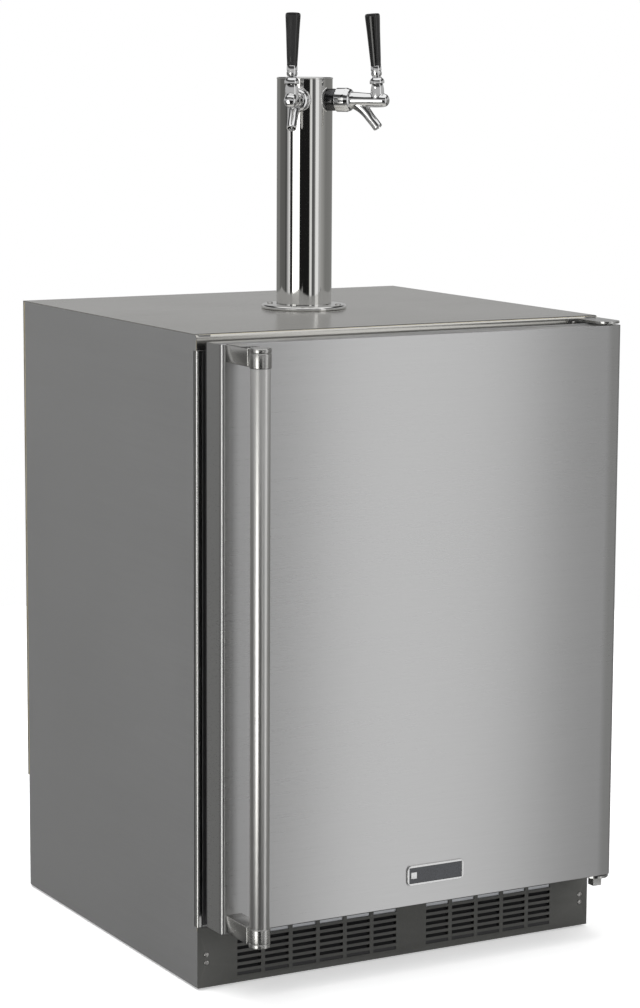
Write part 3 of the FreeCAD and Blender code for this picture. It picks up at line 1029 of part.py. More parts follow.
for name, side in SIDES.items():
    arm = bar(f"{name}_arm", "z", ("0", "0", "-arm_len"), "arm_r", "arm_len")
    tip = bar(f"{name}_tip", "z", ("0", "0", "-arm_len"), "tip_r", "tip_len")
    pivot = ball(f"{name}_pivot", ("0", "0", "0"), "ball_r")
    neck = bar(f"{name}_neck", "z", ("0", "0", "0"), "neck", "cup_high")
    cup = cut(f"{name}_cup", bar(f"{name}_cup_outer", "z", ("0", "0", "cup_low"), "cup_r",
              "cup_high - cup_low"), ball(f"{name}_cup_room", ("0", "0", "0"), "cup_r"))
    ferrule = bar(f"{name}_ferrule", "z", ("0", "0", "cup_high"), "ferrule_r", "ferrule_top - cup_high")
    stud = bar(f"{name}_stud", "z", ("0", "0", "ferrule_top"), "stud_r", "stud")
    pin = bar(f"{name}_pin", "y", ("0", "-pivot_pin / 2", "0"), "pivot_pin_r", "pivot_pin")
    lever = fused(f"{name}_lever", arm, tip, pivot, pin, neck, cup, ferrule, stud)
    finished(leaning(lever, side), f"{name}_tap_lever")
    grip = turned(f"{name}_grip", [("stud_r", "ferrule_top"), ("grip_low_r", "ferrule_top"),
                                   ("grip_r", "grip_top - grip_round"),
                                   ("grip_r - grip_round", "grip_top"), ("0", "grip_top"),
                                   ("0", "ferrule_top + stud"), ("stud_r", "ferrule_top + stud")])
    finished(leaning(grip, side), f"{name}_tap_handle")
    spool = bar(f"{name}_spool", "x", (f"{COLLAR_END} + valve_rod_back", "0", "0"), "valve_rod_r",
                "valve_rod_front - valve_rod_back")
    centre = f"({LEVER_AT} + arm_len * sin(lean))"
    gap = block(f"{name}_gap", (f"{centre} - notch_back", f"{centre} + notch_front"),
                ("-2 * valve_rod_r", "2 * valve_rod_r"), ("-notch_low", "2 * valve_rod_r"))
    finished(local(cut(f"{name}_rod", spool, gap), side), f"{name}_faucet_shaft")

# Every object has to be sound before anything is written.
doc.recompute()
for thing in doc.Objects:
    assert "Invalid" not in thing.State and "Error" not in thing.State, (thing.Name, thing.State)
for thing in NODES:
    assert not thing.Shape.isNull() and thing.Shape.isValid(), thing.Label
    assert thing.Shape.Solids, thing.Label

os.makedirs("parts", exist_ok=True)
for thing in NODES:
    thing.Shape.exportStep(f"parts/{thing.Label}.step")
    print(thing.Label, len(thing.Shape.Solids), round(thing.Shape.Volume))
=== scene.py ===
import json
from math import cos, pi, radians, sin
import bmesh
import bpy
from mathutils import Matrix, Vector

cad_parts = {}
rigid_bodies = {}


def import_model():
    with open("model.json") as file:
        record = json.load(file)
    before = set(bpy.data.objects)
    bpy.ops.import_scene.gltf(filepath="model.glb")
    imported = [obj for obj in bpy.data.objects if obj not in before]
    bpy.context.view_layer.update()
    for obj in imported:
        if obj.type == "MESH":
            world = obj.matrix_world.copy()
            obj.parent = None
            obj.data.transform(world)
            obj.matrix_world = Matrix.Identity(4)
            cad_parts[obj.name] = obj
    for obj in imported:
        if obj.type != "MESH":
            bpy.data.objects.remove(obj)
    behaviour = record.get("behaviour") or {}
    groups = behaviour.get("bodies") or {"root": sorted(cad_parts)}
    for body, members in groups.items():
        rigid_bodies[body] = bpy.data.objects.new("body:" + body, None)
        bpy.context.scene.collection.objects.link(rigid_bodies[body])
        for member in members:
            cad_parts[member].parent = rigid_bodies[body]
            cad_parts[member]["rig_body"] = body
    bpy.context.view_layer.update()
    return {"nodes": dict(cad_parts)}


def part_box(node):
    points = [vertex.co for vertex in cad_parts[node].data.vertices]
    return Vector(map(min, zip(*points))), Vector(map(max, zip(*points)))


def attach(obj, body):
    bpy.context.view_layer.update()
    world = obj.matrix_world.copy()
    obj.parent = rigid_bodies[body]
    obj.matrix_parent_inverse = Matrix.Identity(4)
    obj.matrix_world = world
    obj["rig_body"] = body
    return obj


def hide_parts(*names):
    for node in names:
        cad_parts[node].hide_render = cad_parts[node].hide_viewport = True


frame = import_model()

nodes = frame["nodes"]
scene = bpy.context.scene
scene.view_settings.view_transform = "Standard"

# ------------------------------------------------------------------ studio
# A pale floor in a white room, with soft lamps at the front, top and left.
# The room's dark and light wall panels show in the polished steel and chrome.

camera_data = bpy.data.cameras.new("view_camera")
camera_data.lens = 104.43
camera_data.sensor_width = 36
camera_data.clip_end = 40
camera = bpy.data.objects.new("view_camera", camera_data)
scene.collection.objects.link(camera)
camera.matrix_world = Matrix((
    (0.874819, 0.070625, -0.479274, -1.93732),
    (-0.484424, 0.13774, -0.863922, -3.46705),
    (0.005, 0.987947, 0.15471, 1.21155),
    (0, 0, 0, 1)))
scene.camera = camera

room = bpy.data.worlds.new("studio_room")
scene.world = room
room.use_nodes = True
sky = room.node_tree
sky.nodes.clear()
FACTOR, NUMBER_A, NUMBER_B, COLOUR_A, COLOUR_B, COLOUR_OUT = 0, 2, 3, 6, 7, 2


def placed(tree, kind, levels=None, **settings):
    # A node with its settings and the values of its unlinked inputs.
    node = tree.nodes.new(kind)
    for label, choice in settings.items():
        setattr(node, label, choice)
    for socket, level in (levels or {}).items():
        node.inputs[socket].default_value = level
    return node


def wired(tree, *wires):
    for start, leaving, end, entering in wires:
        tree.links.new(start.outputs[leaving], end.inputs[entering])


def level_ramp(stops):
    ramp = placed(sky, "ShaderNodeValToRGB")
    marks = ramp.color_ramp.elements
    marks.remove(marks[0])
    for spot, colour in stops:
        marks.new(spot).color = (*colour, 1)
    marks.remove(marks[-1])
    return ramp


# Walls all round, from behind on the left through the front to behind on the right:
# white, dark and grey panels by compass angle in degrees, and a pale ceiling over them.
PANELS = [(-180, 0.02), (-169, 0.02), (-166, 2.8), (-141, 2.8), (-138, 0.012), (-98, 0.012),
          (-95, 0.85), (-88, 0.85), (-86, 0.10), (-77, 0.12), (-72, 0.45), (-52, 0.48),
          (-44, 0.38), (-34, 0.32), (-20, 0.22), (38, 0.24), (52, 0.47), (72, 0.47),
          (82, 0.22), (117, 0.22), (122, 0.14), (156, 0.12), (160, 0.02), (180, 0.02)]
# By height: a dark lower room, the panels, a dark band over them, and a white ceiling.
# Each gives its rise, its level, and its share over the panels.
HEIGHTS = [(-1, 0.08, 1), (-0.5, 0.08, 1), (-0.38, 0.2, 0), (0.0, 0.42, 0), (0.05, 0.47, 1),
           (0.28, 0.47, 1), (0.36, 0.06, 1), (0.68, 0.06, 1), (0.76, 1.0, 1), (1, 0.9, 1)]
WHITE = (1, 1, 1, 1)
aim = placed(sky, "ShaderNodeTexCoord")
parts = placed(sky, "ShaderNodeSeparateXYZ")
compass = placed(sky, "ShaderNodeMath", operation="ARCTAN2")
turn = placed(sky, "ShaderNodeMapRange", {"From Min": -pi, "From Max": pi})
walls = level_ramp([((angle + 180) / 360, (level, level, level * (1 if -90 < angle < -50 else 0.97)))
                    for angle, level in PANELS])
height = placed(sky, "ShaderNodeMapRange", {"From Min": -1})
upper = level_ramp([((rise + 1) / 2, [level] * 3) for rise, level, part in HEIGHTS])
share = level_ramp([((rise + 1) / 2, [part] * 3) for rise, level, part in HEIGHTS])
whole = placed(sky, "ShaderNodeMix", data_type="RGBA")
lit = placed(sky, "ShaderNodeBackground")
seen = placed(sky, "ShaderNodeBackground", {"Color": WHITE})
which = placed(sky, "ShaderNodeMixShader")
rays = placed(sky, "ShaderNodeLightPath")
room_out = placed(sky, "ShaderNodeOutputWorld")
wired(sky, (aim, "Generated", parts, 0), (parts, "Y", compass, 0), (parts, "X", compass, 1),
      (compass, 0, turn, "Value"), (turn, 0, walls, "Fac"), (parts, "Z", height, "Value"),
      (height, 0, upper, "Fac"), (height, 0, share, "Fac"), (share, "Color", whole, FACTOR),
      (upper, "Color", whole, COLOUR_B), (walls, "Color", whole, COLOUR_A),
      (whole, COLOUR_OUT, lit, "Color"), (rays, "Is Camera Ray", which, "Fac"),
      (lit, 0, which, 1), (seen, 0, which, 2), (which, 0, room_out, "Surface"))


def linked(name, data):
    thing = bpy.data.objects.new(name, data)
    scene.collection.objects.link(thing)
    return thing


def flat_sheet(name, corners):
    mesh = bpy.data.meshes.new(name)
    mesh.from_pydata([Vector(c) for c in corners], [], [tuple(range(len(corners)))])
    return linked(name, mesh)


def bright_card(name, foot, facing, wide, high, level):
    # An upright glowing card that is seen only in reflections.
    across = Vector((0, 0, 1)).cross(Vector(facing)).normalized() * wide / 2
    low, rise = Vector(foot), Vector((0, 0, high))
    sheet = flat_sheet(name, [low - across, low + across, low + across + rise, low - across + rise])
    glow = bpy.data.materials.new(name)
    glow.use_nodes = True
    tree = glow.node_tree
    tree.nodes.clear()
    shine = placed(tree, "ShaderNodeEmission", {"Color": WHITE, "Strength": level})
    wired(tree, (shine, 0, placed(tree, "ShaderNodeOutputMaterial"), "Surface"))
    sheet.data.materials.append(glow)
    for ray in ("camera", "diffuse", "shadow", "transmission", "volume_scatter"):
        setattr(sheet, f"visible_{ray}", False)


bright_card("door_card", (0.67, -1.37, -1.5), (-0.52, 0.855, 0), 0.40, 4.0, 0.95)


def soft_lamp(name, spot, target, wide, high, power):
    lamp = bpy.data.lights.new(name, "AREA")
    lamp.shape = "RECTANGLE"
    lamp.size = wide
    lamp.size_y = high
    lamp.energy = power
    thing = linked(name, lamp)
    thing.location = spot
    aim = Vector(target) - Vector(spot)
    thing.rotation_euler = aim.to_track_quat("-Z", "Y").to_euler()
    thing.visible_glossy = False


soft_lamp("front_lamp", (2.6, -3.2, 1.9), (0, 0, 0.6), 1.6, 2.6, 70)
soft_lamp("top_lamp", (-0.4, 0.4, 3.6), (0, 0, 0.8), 3.0, 2.4, 75)
soft_lamp("left_lamp", (-1.25, 0.1, 1.7), (-0.3, 0, 0.85), 0.9, 0.9, 7)

floor_radius, rim_points = 2.4, 96
rim = [(floor_radius * cos(2 * pi * step / rim_points),
        floor_radius * sin(2 * pi * step / rim_points), 0) for step in range(rim_points)]
floor = flat_sheet("studio_floor", rim)
floor_paint = bpy.data.materials.new("pale_floor")
floor_paint.use_nodes = True
for label, level in (("Base Color", (0.93, 0.93, 0.93, 1)), ("Roughness", 0.9),
                     ("Emission Color", WHITE), ("Emission Strength", 0.42)):
    floor_paint.node_tree.nodes["Principled BSDF"].inputs[label].default_value = level
floor.data.materials.append(floor_paint)
floor.visible_glossy = False

# ------------------------------------------------- base pan and machine bay floor
# Folded zinc-coated sheet, bent into an upturned tray, with threaded bosses
# for the feet and a bent ceiling that keeps the machine bay from the foam.


def group_of(name, inputs, outputs):
    tree = bpy.data.node_groups.new(name, "ShaderNodeTree")
    for label, kind, start in inputs:
        tree.interface.new_socket(name=label, in_out="INPUT", socket_type=kind).default_value = start
    for label in outputs:
        tree.interface.new_socket(name=label, in_out="OUTPUT", socket_type="NodeSocketFloat")
    return tree, tree.nodes.new("NodeGroupInput"), tree.nodes.new("NodeGroupOutput")


def drawn_lines():
    # Noise pulled out along one direction: brushing, drawing or rolling marks.
    tree, given, out = group_of("drawn_lines", [
        ("Vector", "NodeSocketVector", (0, 0, 0)), ("Stretch", "NodeSocketVector", (1, 1, 1)),
        ("Fineness", "NodeSocketFloat", 1.0), ("Harshness", "NodeSocketFloat", 0.6)], ["Lines"])
    pull = placed(tree, "ShaderNodeVectorMath", operation="MULTIPLY")
    fine = placed(tree, "ShaderNodeTexNoise", {"Detail": 3})
    broad = placed(tree, "ShaderNodeTexNoise", {"Detail": 1})
    coarse = placed(tree, "ShaderNodeMath", {1: 0.23}, operation="MULTIPLY")
    both = placed(tree, "ShaderNodeMix", {FACTOR: 0.3}, data_type="FLOAT")
    spread = placed(tree, "ShaderNodeMapRange", {"From Min": 0.28, "From Max": 0.72})
    wired(tree, (given, "Vector", pull, 0), (given, "Stretch", pull, 1), (pull, 0, fine, "Vector"),
          (pull, 0, broad, "Vector"), (given, "Fineness", fine, "Scale"),
          (given, "Fineness", coarse, 0), (coarse, 0, broad, "Scale"),
          (given, "Harshness", fine, "Roughness"), (fine, "Fac", both, NUMBER_A),
          (broad, "Fac", both, NUMBER_B), (both, 0, spread, "Value"), (spread, 0, out, "Lines"))
    return tree


def cloudy():
    # Broad soft patches: handling, uneven coating and settled dust.
    tree, given, out = group_of("cloudy_patches", [
        ("Vector", "NodeSocketVector", (0, 0, 0)), ("Size", "NodeSocketFloat", 6.0)], ["Patches"])
    noise = placed(tree, "ShaderNodeTexNoise", {"Detail": 5, "Roughness": 0.55})
    spread = placed(tree, "ShaderNodeMapRange", {"From Min": 0.3, "From Max": 0.7})
    wired(tree, (given, "Vector", noise, "Vector"), (given, "Size", noise, "Scale"),
          (noise, "Fac", spread, "Value"), (spread, 0, out, "Patches"))
    return tree


def rubbed_edges():
    # Where the surface turns outwards sharply, the finish is rubbed thinner.
    tree, given, out = group_of("rubbed_edges", [("Amount", "NodeSocketFloat", 0.5)], ["Mask"])
    shape = placed(tree, "ShaderNodeNewGeometry")
    reach = placed(tree, "ShaderNodeMapRange", {"From Min": 0.52, "From Max": 0.62})
    scaled = placed(tree, "ShaderNodeMath", operation="MULTIPLY")
    wired(tree, (shape, "Pointiness", reach, "Value"), (reach, 0, scaled, 0),
          (given, "Amount", scaled, 1), (scaled, 0, out, "Mask"))
    return tree


LINES, PATCHES, RUBBED = drawn_lines(), cloudy(), rubbed_edges()


def finish(name, dark, light, rough, metallic=0.0, stretch=(1, 1, 1), fineness=900, harsh=0.6,
           patch=7, bump=0.02, rub=0.3, sockets=None):
    # One real surface: two tones mixed by its marks, patches in its gloss, marks in its relief.
    paint = bpy.data.materials.new(name)
    paint.use_nodes = True
    tree = paint.node_tree
    face = tree.nodes["Principled BSDF"]
    face.inputs["Metallic"].default_value = metallic
    for label, level in (sockets or {}).items():
        face.inputs[label].default_value = level
    where = placed(tree, "ShaderNodeTexCoord")
    marks = placed(tree, "ShaderNodeGroup", node_tree=LINES, levels={
        "Stretch": stretch, "Fineness": fineness, "Harshness": harsh})
    clouds = placed(tree, "ShaderNodeGroup", {"Size": patch}, node_tree=PATCHES)
    rubbed = placed(tree, "ShaderNodeGroup", {"Amount": rub}, node_tree=RUBBED)
    tone = placed(tree, "ShaderNodeMix", {COLOUR_A: (*dark, 1), COLOUR_B: (*light, 1)},
                  data_type="RGBA")
    mixed = placed(tree, "ShaderNodeMix", {FACTOR: 0.35}, data_type="FLOAT")
    bare = (*[min(1, level * 1.35 + 0.02) for level in light], 1)
    worn = placed(tree, "ShaderNodeMix", {COLOUR_B: bare}, data_type="RGBA")
    gloss = placed(tree, "ShaderNodeMapRange", {"To Min": rough[0], "To Max": rough[1]})
    relief = placed(tree, "ShaderNodeBump", {"Strength": bump, "Distance": 0.001})
    wired(tree, (where, "Object", marks, "Vector"), (where, "Object", clouds, "Vector"),
          (marks, "Lines", mixed, NUMBER_A), (clouds, "Patches", mixed, NUMBER_B),
          (mixed, 0, tone, FACTOR), (rubbed, "Mask", worn, FACTOR), (tone, COLOUR_OUT, worn, COLOUR_A),
          (worn, COLOUR_OUT, face, "Base Color"), (mixed, 0, gloss, "Value"),
          (gloss, 0, face, "Roughness"), (marks, "Lines", relief, "Height"),
          (relief, 0, face, "Normal"))
    return paint


def smooth_shaded(thing, angle=33):
    for face in thing.data.polygons:
        face.use_smooth = True
    thing.data.set_sharp_from_angle(angle=radians(angle))
    return thing


def applied(thing):
    # Turns the live modifiers into a plain mesh and takes them off.
    view = bpy.context.evaluated_depsgraph_get()
    mesh = bpy.data.meshes.new_from_object(thing.evaluated_get(view))
    thing.modifiers.clear()
    thing.data = mesh
    mesh.name = thing.name
    return thing


def fitted(thing, body, paint, slot, *stands_for):
    thing.data.materials.clear()
    thing.data.materials.append(paint)
    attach(thing, body)
    if stands_for:
        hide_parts(*stands_for)
    return thing


def edge_bend(thing, width, segments, angle=None, harden=True):
    bend = thing.modifiers.new("edge_radius", "BEVEL")
    bend.width = width / 1000
    bend.segments = segments
    bend.limit_method = "ANGLE"
    bend.harden_normals = harden
    if angle:
        bend.angle_limit = radians(angle)


def softened(name, node, width, paint, slot, segments=3):
    # The CAD piece with its merged edges broken by a small bend or moulding radius.
    mesh = nodes[node].data.copy()
    mesh.name = name
    work = bmesh.new()
    work.from_mesh(mesh)
    bmesh.ops.remove_doubles(work, verts=work.verts, dist=0.000002)
    bmesh.ops.dissolve_limit(work, angle_limit=radians(0.5), verts=work.verts, edges=work.edges)
    work.to_mesh(mesh)
    work.free()
    thing = smooth_shaded(linked(name, mesh))
    edge_bend(thing, width, segments, 40)
    return fitted(applied(thing), nodes[node]["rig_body"], paint, slot, node)


def repainted(node, paint):
    shown = nodes[node]
    shown.data.materials.clear()
    shown.data.materials.append(paint)


zinc_sheet = finish("zinc_sheet", (0.30, 0.31, 0.33), (0.50, 0.51, 0.53), (0.32, 0.55), 0.85,
                    fineness=160, patch=40, bump=0.04, rub=0.4)
softened("base_tray", "base_pan", 0.5, zinc_sheet, "galvanised_steel")
softened("bay_roof", "bay_ceiling", 0.4, zinc_sheet, "galvanised_steel")

# ------------------------------------------------------------ levelling feet
# Four turned feet: a moulded black pad with a ribbed rim on a threaded
# steel stem, each screwed up into its boss in the base pan.


def eased(points, radius, closed=False, steps=4):
    # The same outline with each corner replaced by a small curve.
    result = []
    count = len(points)
    for index, point in enumerate(points):
        here = Vector(point)
        if not closed and index in (0, count - 1):
            result.append(here)
            continue
        before, after = Vector(points[index - 1]), Vector(points[(index + 1) % count])
        reach = min(radius, 0.45 * (here - before).length, 0.45 * (after - here).length)
        start = here + (before - here).normalized() * reach
        end = here + (after - here).normalized() * reach
        for step in range(steps + 1):
            t = step / steps
            result.append(start * (1 - t) ** 2 + here * (2 * t * (1 - t)) + end * t * t)
    return result


def made(name, corners, faces, where=None):
    # A piece from corner points in millimetres, its faces turned outwards.
    where = where or Matrix()
    mesh = bpy.data.meshes.new(name)
    mesh.from_pydata([(where @ Vector(corner)) / 1000 for corner in corners], [], faces)
    work = bmesh.new()
    work.from_mesh(mesh)
    bmesh.ops.remove_doubles(work, verts=work.verts, dist=0.0000005)
    bmesh.ops.recalc_face_normals(work, faces=work.faces)
    work.to_mesh(mesh)
    work.free()
    return smooth_shaded(linked(name, mesh))


def laced(rings, closed=False):
    # Faces between neighbouring rings of corners, with repeated corners left out.
    faces = []
    for low, high in [*zip(rings, rings[1:]), *([(rings[-1], rings[0])] if closed else [])]:
        for step in range(len(low)):
            after = (step + 1) % len(low)
            face = [low[step], low[after], high[after], high[step]]
            faces.append([spot for place, spot in enumerate(face) if spot not in face[:place]])
    return [face for face in faces if len(face) > 2]


def even_rings(rings, steps):
    return [list(range(ring * steps, (ring + 1) * steps)) for ring in range(rings)]


def spun(name, profile, where=None, steps=64, ring=False, lobes=None):
    # Turned work: (radius, height) points in millimetres about the local z axis.
    corners, rings = [], []
    for radius, height in profile:
        if radius < 1e-6:
            rings.append([len(corners)] * steps)
            corners.append((0, 0, height))
            continue
        rings.append(list(range(len(corners), len(corners) + steps)))
        for step in range(steps):
            turn = 2 * pi * step / steps
            size = radius * (lobes(turn, height) if lobes else 1)
            corners.append((size * cos(turn), size * sin(turn), height))
    return made(name, corners, laced(rings, ring), where)


def ribbed(depth, count, low, high, sharpness=1):
    # A size for spun() that dips along even ribs between two heights.
    def size(turn, height):
        return 1 - depth * max(0, cos(count * turn)) ** sharpness if low < height < high else 1
    return size

def turned(degrees, axis):
    return Matrix.Rotation(radians(degrees), 4, axis)


def moved(x, y, z):
    return Matrix.Translation((x, y, z))


def edges(node):
    # The low corner, high corner and middle of a CAD piece's box, in millimetres.
    low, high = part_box(node)
    return low * 1000, high * 1000, (low + high) * 500


foot_paint = finish("foot_moulding", (0.012, 0.012, 0.013), (0.035, 0.035, 0.036), (0.38, 0.6),
                    fineness=700, bump=0.15, rub=0.2)
stem = []
for thread in range(30):
    base = 11 + thread * 1.6
    stem += [(5, base), (5, base + 0.4), (4.4, base + 0.8), (4.4, base + 1.2)]
pad = eased([(0, 0), (15, 0), (16, 0.8), (18, 2.2), (18, 6.6), (13.5, 8.4), (12, 10), (5, 10)], 0.8)
profile = pad + stem + [(4.4, 59.6), (3.6, 60), (0, 60)]
for node in ("front_left_foot", "front_right_foot", "rear_left_foot", "rear_right_foot"):
    low, high = edges(node)[:2]
    centre = moved((low.x + high.x) / 2, (low.y + high.y) / 2, low.z)
    foot = spun(f"{node}_turned", profile, centre, 96, lobes=ribbed(0.035, 24, 2, 8))
    fitted(foot, nodes[node]["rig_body"], foot_paint, "foot_black", node)

# ------------------------------------------------------------- cabinet sheets
# Side panels, roof and back in sheet steel one millimetre thick. The side
# sheets turn inwards at the front and back, and the roof turns down over them.


def extruded(name, loop, low, high, where=None):
    # A closed outline in millimetres raised along the local z axis.
    count = len(loop)
    corners = [(*point, low) for point in loop] + [(*point, high) for point in loop]
    ends = even_rings(2, count)
    return made(name, corners, laced(ends) + ends, where)


def joined(name, *things):
    # Several loose solids kept as one piece.
    work = bmesh.new()
    for thing in things:
        work.from_mesh(thing.data)
        bpy.data.objects.remove(thing)
    mesh = bpy.data.meshes.new(name)
    work.to_mesh(mesh)
    work.free()
    return smooth_shaded(linked(name, mesh))


grey_coat = finish("grey_coat", (0.165, 0.165, 0.165), (0.22, 0.22, 0.22), (0.36, 0.5), 0.35,
                   stretch=(1, 0.02, 1), fineness=420, patch=3, bump=0.05, rub=0.5)
half_width, roof_top, sheet, fold = 303, 854, 1, 20
front, back = edges("side_panels")[0].y, edges("side_panels")[1].y
sheets = []
for side in (-1, 1):
    outer_x, inner_x = side * half_width, side * (half_width - sheet)
    fold_x = side * (half_width - fold)
    outer = eased([(fold_x, front), (outer_x, front), (outer_x, back), (fold_x, back)], 6)
    inner = eased([(fold_x, front + sheet), (inner_x, front + sheet), (inner_x, back - sheet),
                   (fold_x, back - sheet)], 5)
    sheets.append(extruded(f"panel_{side + 1}", outer + inner[::-1], 3, roof_top - sheet))
fitted(joined("folded_side_sheets", *sheets), "cabinet", grey_coat, "coated_steel", "side_panels")

roof_steel = finish("roof_steel", (0.50, 0.49, 0.46), (0.62, 0.61, 0.58), (0.16, 0.26), 1.0,
                    stretch=(0.02, 1, 1), fineness=520, patch=5, bump=0.012, rub=0.2)
rear_edge, skirt, skirt_low = edges("top_panel")[1].y, front - sheet, roof_top - 20
outer = eased([(skirt, skirt_low), (skirt, roof_top), (rear_edge, roof_top)], 8.0, steps=7)
inner = eased([(front, skirt_low), (front, roof_top - sheet), (rear_edge, roof_top - sheet)], 7.0,
              steps=7)
along_x = Matrix(((0, 0, 1, 0), (1, 0, 0, 0), (0, 1, 0, 0), (0, 0, 0, 1)))
roof = extruded("roof_sheet", outer + inner[::-1], -half_width, half_width, along_x)


def carved(thing, tool):
    work = thing.modifiers.new("carve", "BOOLEAN")
    work.operation = "DIFFERENCE"
    work.solver = "EXACT"
    work.object = tool
    applied(thing)
    bpy.data.objects.remove(tool)
    return smooth_shaded(thing)


TOWER_Y = 73.875
tower_middle = moved(0, TOWER_Y, 0)
roof = carved(roof, spun("tower_opening", [(0, 840), (30, 840), (30, 860), (0, 860)], tower_middle))
fitted(roof, "cabinet", roof_steel, "brushed_steel", "top_panel")

# Painted highlight: a strip of bright steel, far lighter than the grey coat, runs over each front corner
# of the side sheets. It stands in for the light caught on the rounded corner.
trim_steel = finish("trim_steel", (0.56, 0.56, 0.55), (0.66, 0.66, 0.65), (0.2, 0.3), 1.0,
                    stretch=(1, 1, 0.02), fineness=700, patch=6, bump=0.02, rub=0.2)
painted_highlight_strips = []
for side, base in ((-1, 84.5), (1, 112)):
    bead = eased([(side * half_width, front + 8), (side * half_width, front), (side * 295.3, front)],
                 3.4, steps=9)
    back_line = [(side * 295.3, front + 1.4), (side * 300, front + 2), (side * 301.2, front + 8)]
    painted_highlight_strips.append(extruded("edge_trim", bead + back_line, base, 833))
fitted(joined("bright_edge_trims", *painted_highlight_strips), "cabinet", trim_steel, "brushed_steel")

plain_back = finish("plain_back", (0.27, 0.275, 0.285), (0.40, 0.405, 0.415), (0.35, 0.5), 0.8,
                    fineness=120, patch=24, bump=0.03, rub=0.5)
softened("back_sheet", "rear_panel", 0.3, plain_back, "coated_steel")
softened("bay_cover", "rear_cover", 0.25, plain_back, "galvanised_steel")
soft_black = finish("soft_black", (0.010, 0.010, 0.011), (0.026, 0.026, 0.027), (0.5, 0.72),
                    fineness=1500, bump=0.12, rub=0.1)
softened("lead_bush", "cord_gland", 0.8, soft_black, "seal_black")

# -------------------------------------------------------------------- screws
# Plated pan-head screws with a cross cut in the head. One screw is turned
# and cut, then set out at each hole with its own turn of the driver.

screw_steel = finish("screw_steel", (0.42, 0.41, 0.40), (0.66, 0.65, 0.63), (0.18, 0.34), 1.0,
                     fineness=1400, patch=60, bump=0.05, rub=0.3)


def block_corners(low, high):
    return [(x, y, z) for z in (low[2], high[2]) for y in (low[1], high[1]) for x in (low[0], high[0])]


def block(name, low, high, where=None, radius=0.0, segments=3):
    # A block whose edges are all broken by one radius.
    faces = [[0, 2, 3, 1], [4, 5, 7, 6], [0, 1, 5, 4], [2, 6, 7, 3], [0, 4, 6, 2], [1, 3, 7, 5]]
    thing = made(name, block_corners(low, high), faces, where)
    if radius:
        edge_bend(thing, radius, segments)
        applied(thing)
    return thing


def pan_screw(radius, head, length):
    # Head above the local z = 0 plane, shank below it.
    dome = [(0, -length), (2, -length), (2, 0), (radius - 0.2, 0), (radius, 0.35),
            (radius, head * 0.45), (radius * 0.8, head * 0.85), (radius * 0.45, head), (0, head)]
    thing = spun("screw", eased(dome, 0.4, steps=2), None, 28)
    for turn in (0, 90):
        slot = block("driver_cut", (-radius * 0.62, -0.42, head * 0.45),
                     (radius * 0.62, 0.42, head + 1), turned(turn, "Z"))
        thing = carved(thing, slot)
    return thing


def node_tree(name, inputs):
    tree = bpy.data.node_groups.new(name, "GeometryNodeTree")
    socket = tree.interface.new_socket
    socket(name="Geometry", in_out="INPUT", socket_type="NodeSocketGeometry")
    ids = {label: socket(name=label, in_out="INPUT", socket_type=kind).identifier
           for label, kind in inputs}
    socket(name="Geometry", in_out="OUTPUT", socket_type="NodeSocketGeometry")
    return tree, tree.nodes.new("NodeGroupInput"), tree.nodes.new("NodeGroupOutput"), ids


def dressed_copies(tree, given, out, points, piece):
    # Copies of the piece at the points, realized and given their finish.
    copies = placed(tree, "GeometryNodeInstanceOnPoints")
    real = placed(tree, "GeometryNodeRealizeInstances")
    dressed = placed(tree, "GeometryNodeSetMaterial")
    wired(tree, (*points, copies, "Points"), (piece, "Geometry", copies, "Instance"),
          (copies, "Instances", real, "Geometry"), (real, "Geometry", dressed, "Geometry"),
          (given, "Finish", dressed, "Material"), (dressed, "Geometry", out, "Geometry"))
    return copies


def setting_out_tree():
    # One copy of a piece at each given point, turned as the point's "turn" says.
    tree, given, out, ids = node_tree("set_out_at_points", [
        ("Piece", "NodeSocketObject"), ("Size", "NodeSocketFloat"), ("Finish", "NodeSocketMaterial")])
    piece = placed(tree, "GeometryNodeObjectInfo")
    turn = placed(tree, "GeometryNodeInputNamedAttribute", {"Name": "turn"}, data_type="FLOAT_VECTOR")
    copies = dressed_copies(tree, given, out, (given, "Geometry"), piece)
    wired(tree, (given, "Piece", piece, "Object"), (turn, "Attribute", copies, "Rotation"),
          (given, "Size", copies, "Scale"))
    return tree, ids


SET_OUT, SET_OUT_IDS = setting_out_tree()


def set_out(name, piece, spots, paint, size=1.0):
    # spots: (place in millimetres, direction the piece's z axis points, turn about it)
    mesh = bpy.data.meshes.new(name)
    mesh.from_pydata([Vector(place) / 1000 for place, way, spin in spots], [], [])
    turns = mesh.attributes.new("turn", "FLOAT_VECTOR", "POINT")
    for index, (place, way, spin) in enumerate(spots):
        aim = Vector(way).to_track_quat("Z", "Y").to_matrix().to_4x4()
        turns.data[index].vector = (aim @ Matrix.Rotation(spin, 4, "Z")).to_euler()
    thing = linked(name, mesh)
    spread = thing.modifiers.new("set_out", "NODES")
    spread.node_group = SET_OUT
    for label, value in (("Piece", piece), ("Size", size), ("Finish", paint)):
        spread[SET_OUT_IDS[label]] = value
    applied(thing)
    bpy.data.objects.remove(piece)
    return smooth_shaded(thing)


def faced(spots, way):
    return [(spot, way, 0.6 + 1.9 * index) for index, spot in enumerate(spots)]


def screws_at(name, sizes, spots, paint, *stands_for):
    heads = set_out(name, pan_screw(*sizes), spots, paint)
    fitted(heads, "cabinet", paint, "screw_steel", *stands_for)


cover_spots = [(x, 345.4, z) for x in (-292, -98, 98, 292) for z in (12, 156)]
screws_at("cover_screws", (3.2, 1.4, 3), faced(cover_spots, (0, 1, 0)), screw_steel)

# ---------------------------------------------------------------- toe grille
# A pressed steel plate with rows of slots, painted dark. Behind each slot
# a narrow louvre leans inwards, so that air passes and the bay stays dark.

grille_paint = finish("grille_paint", (0.040, 0.040, 0.037), (0.075, 0.075, 0.070), (0.36, 0.5), 0.3,
                      fineness=900, patch=12, bump=0.06, rub=0.6)
repainted("toe_grille", grille_paint)


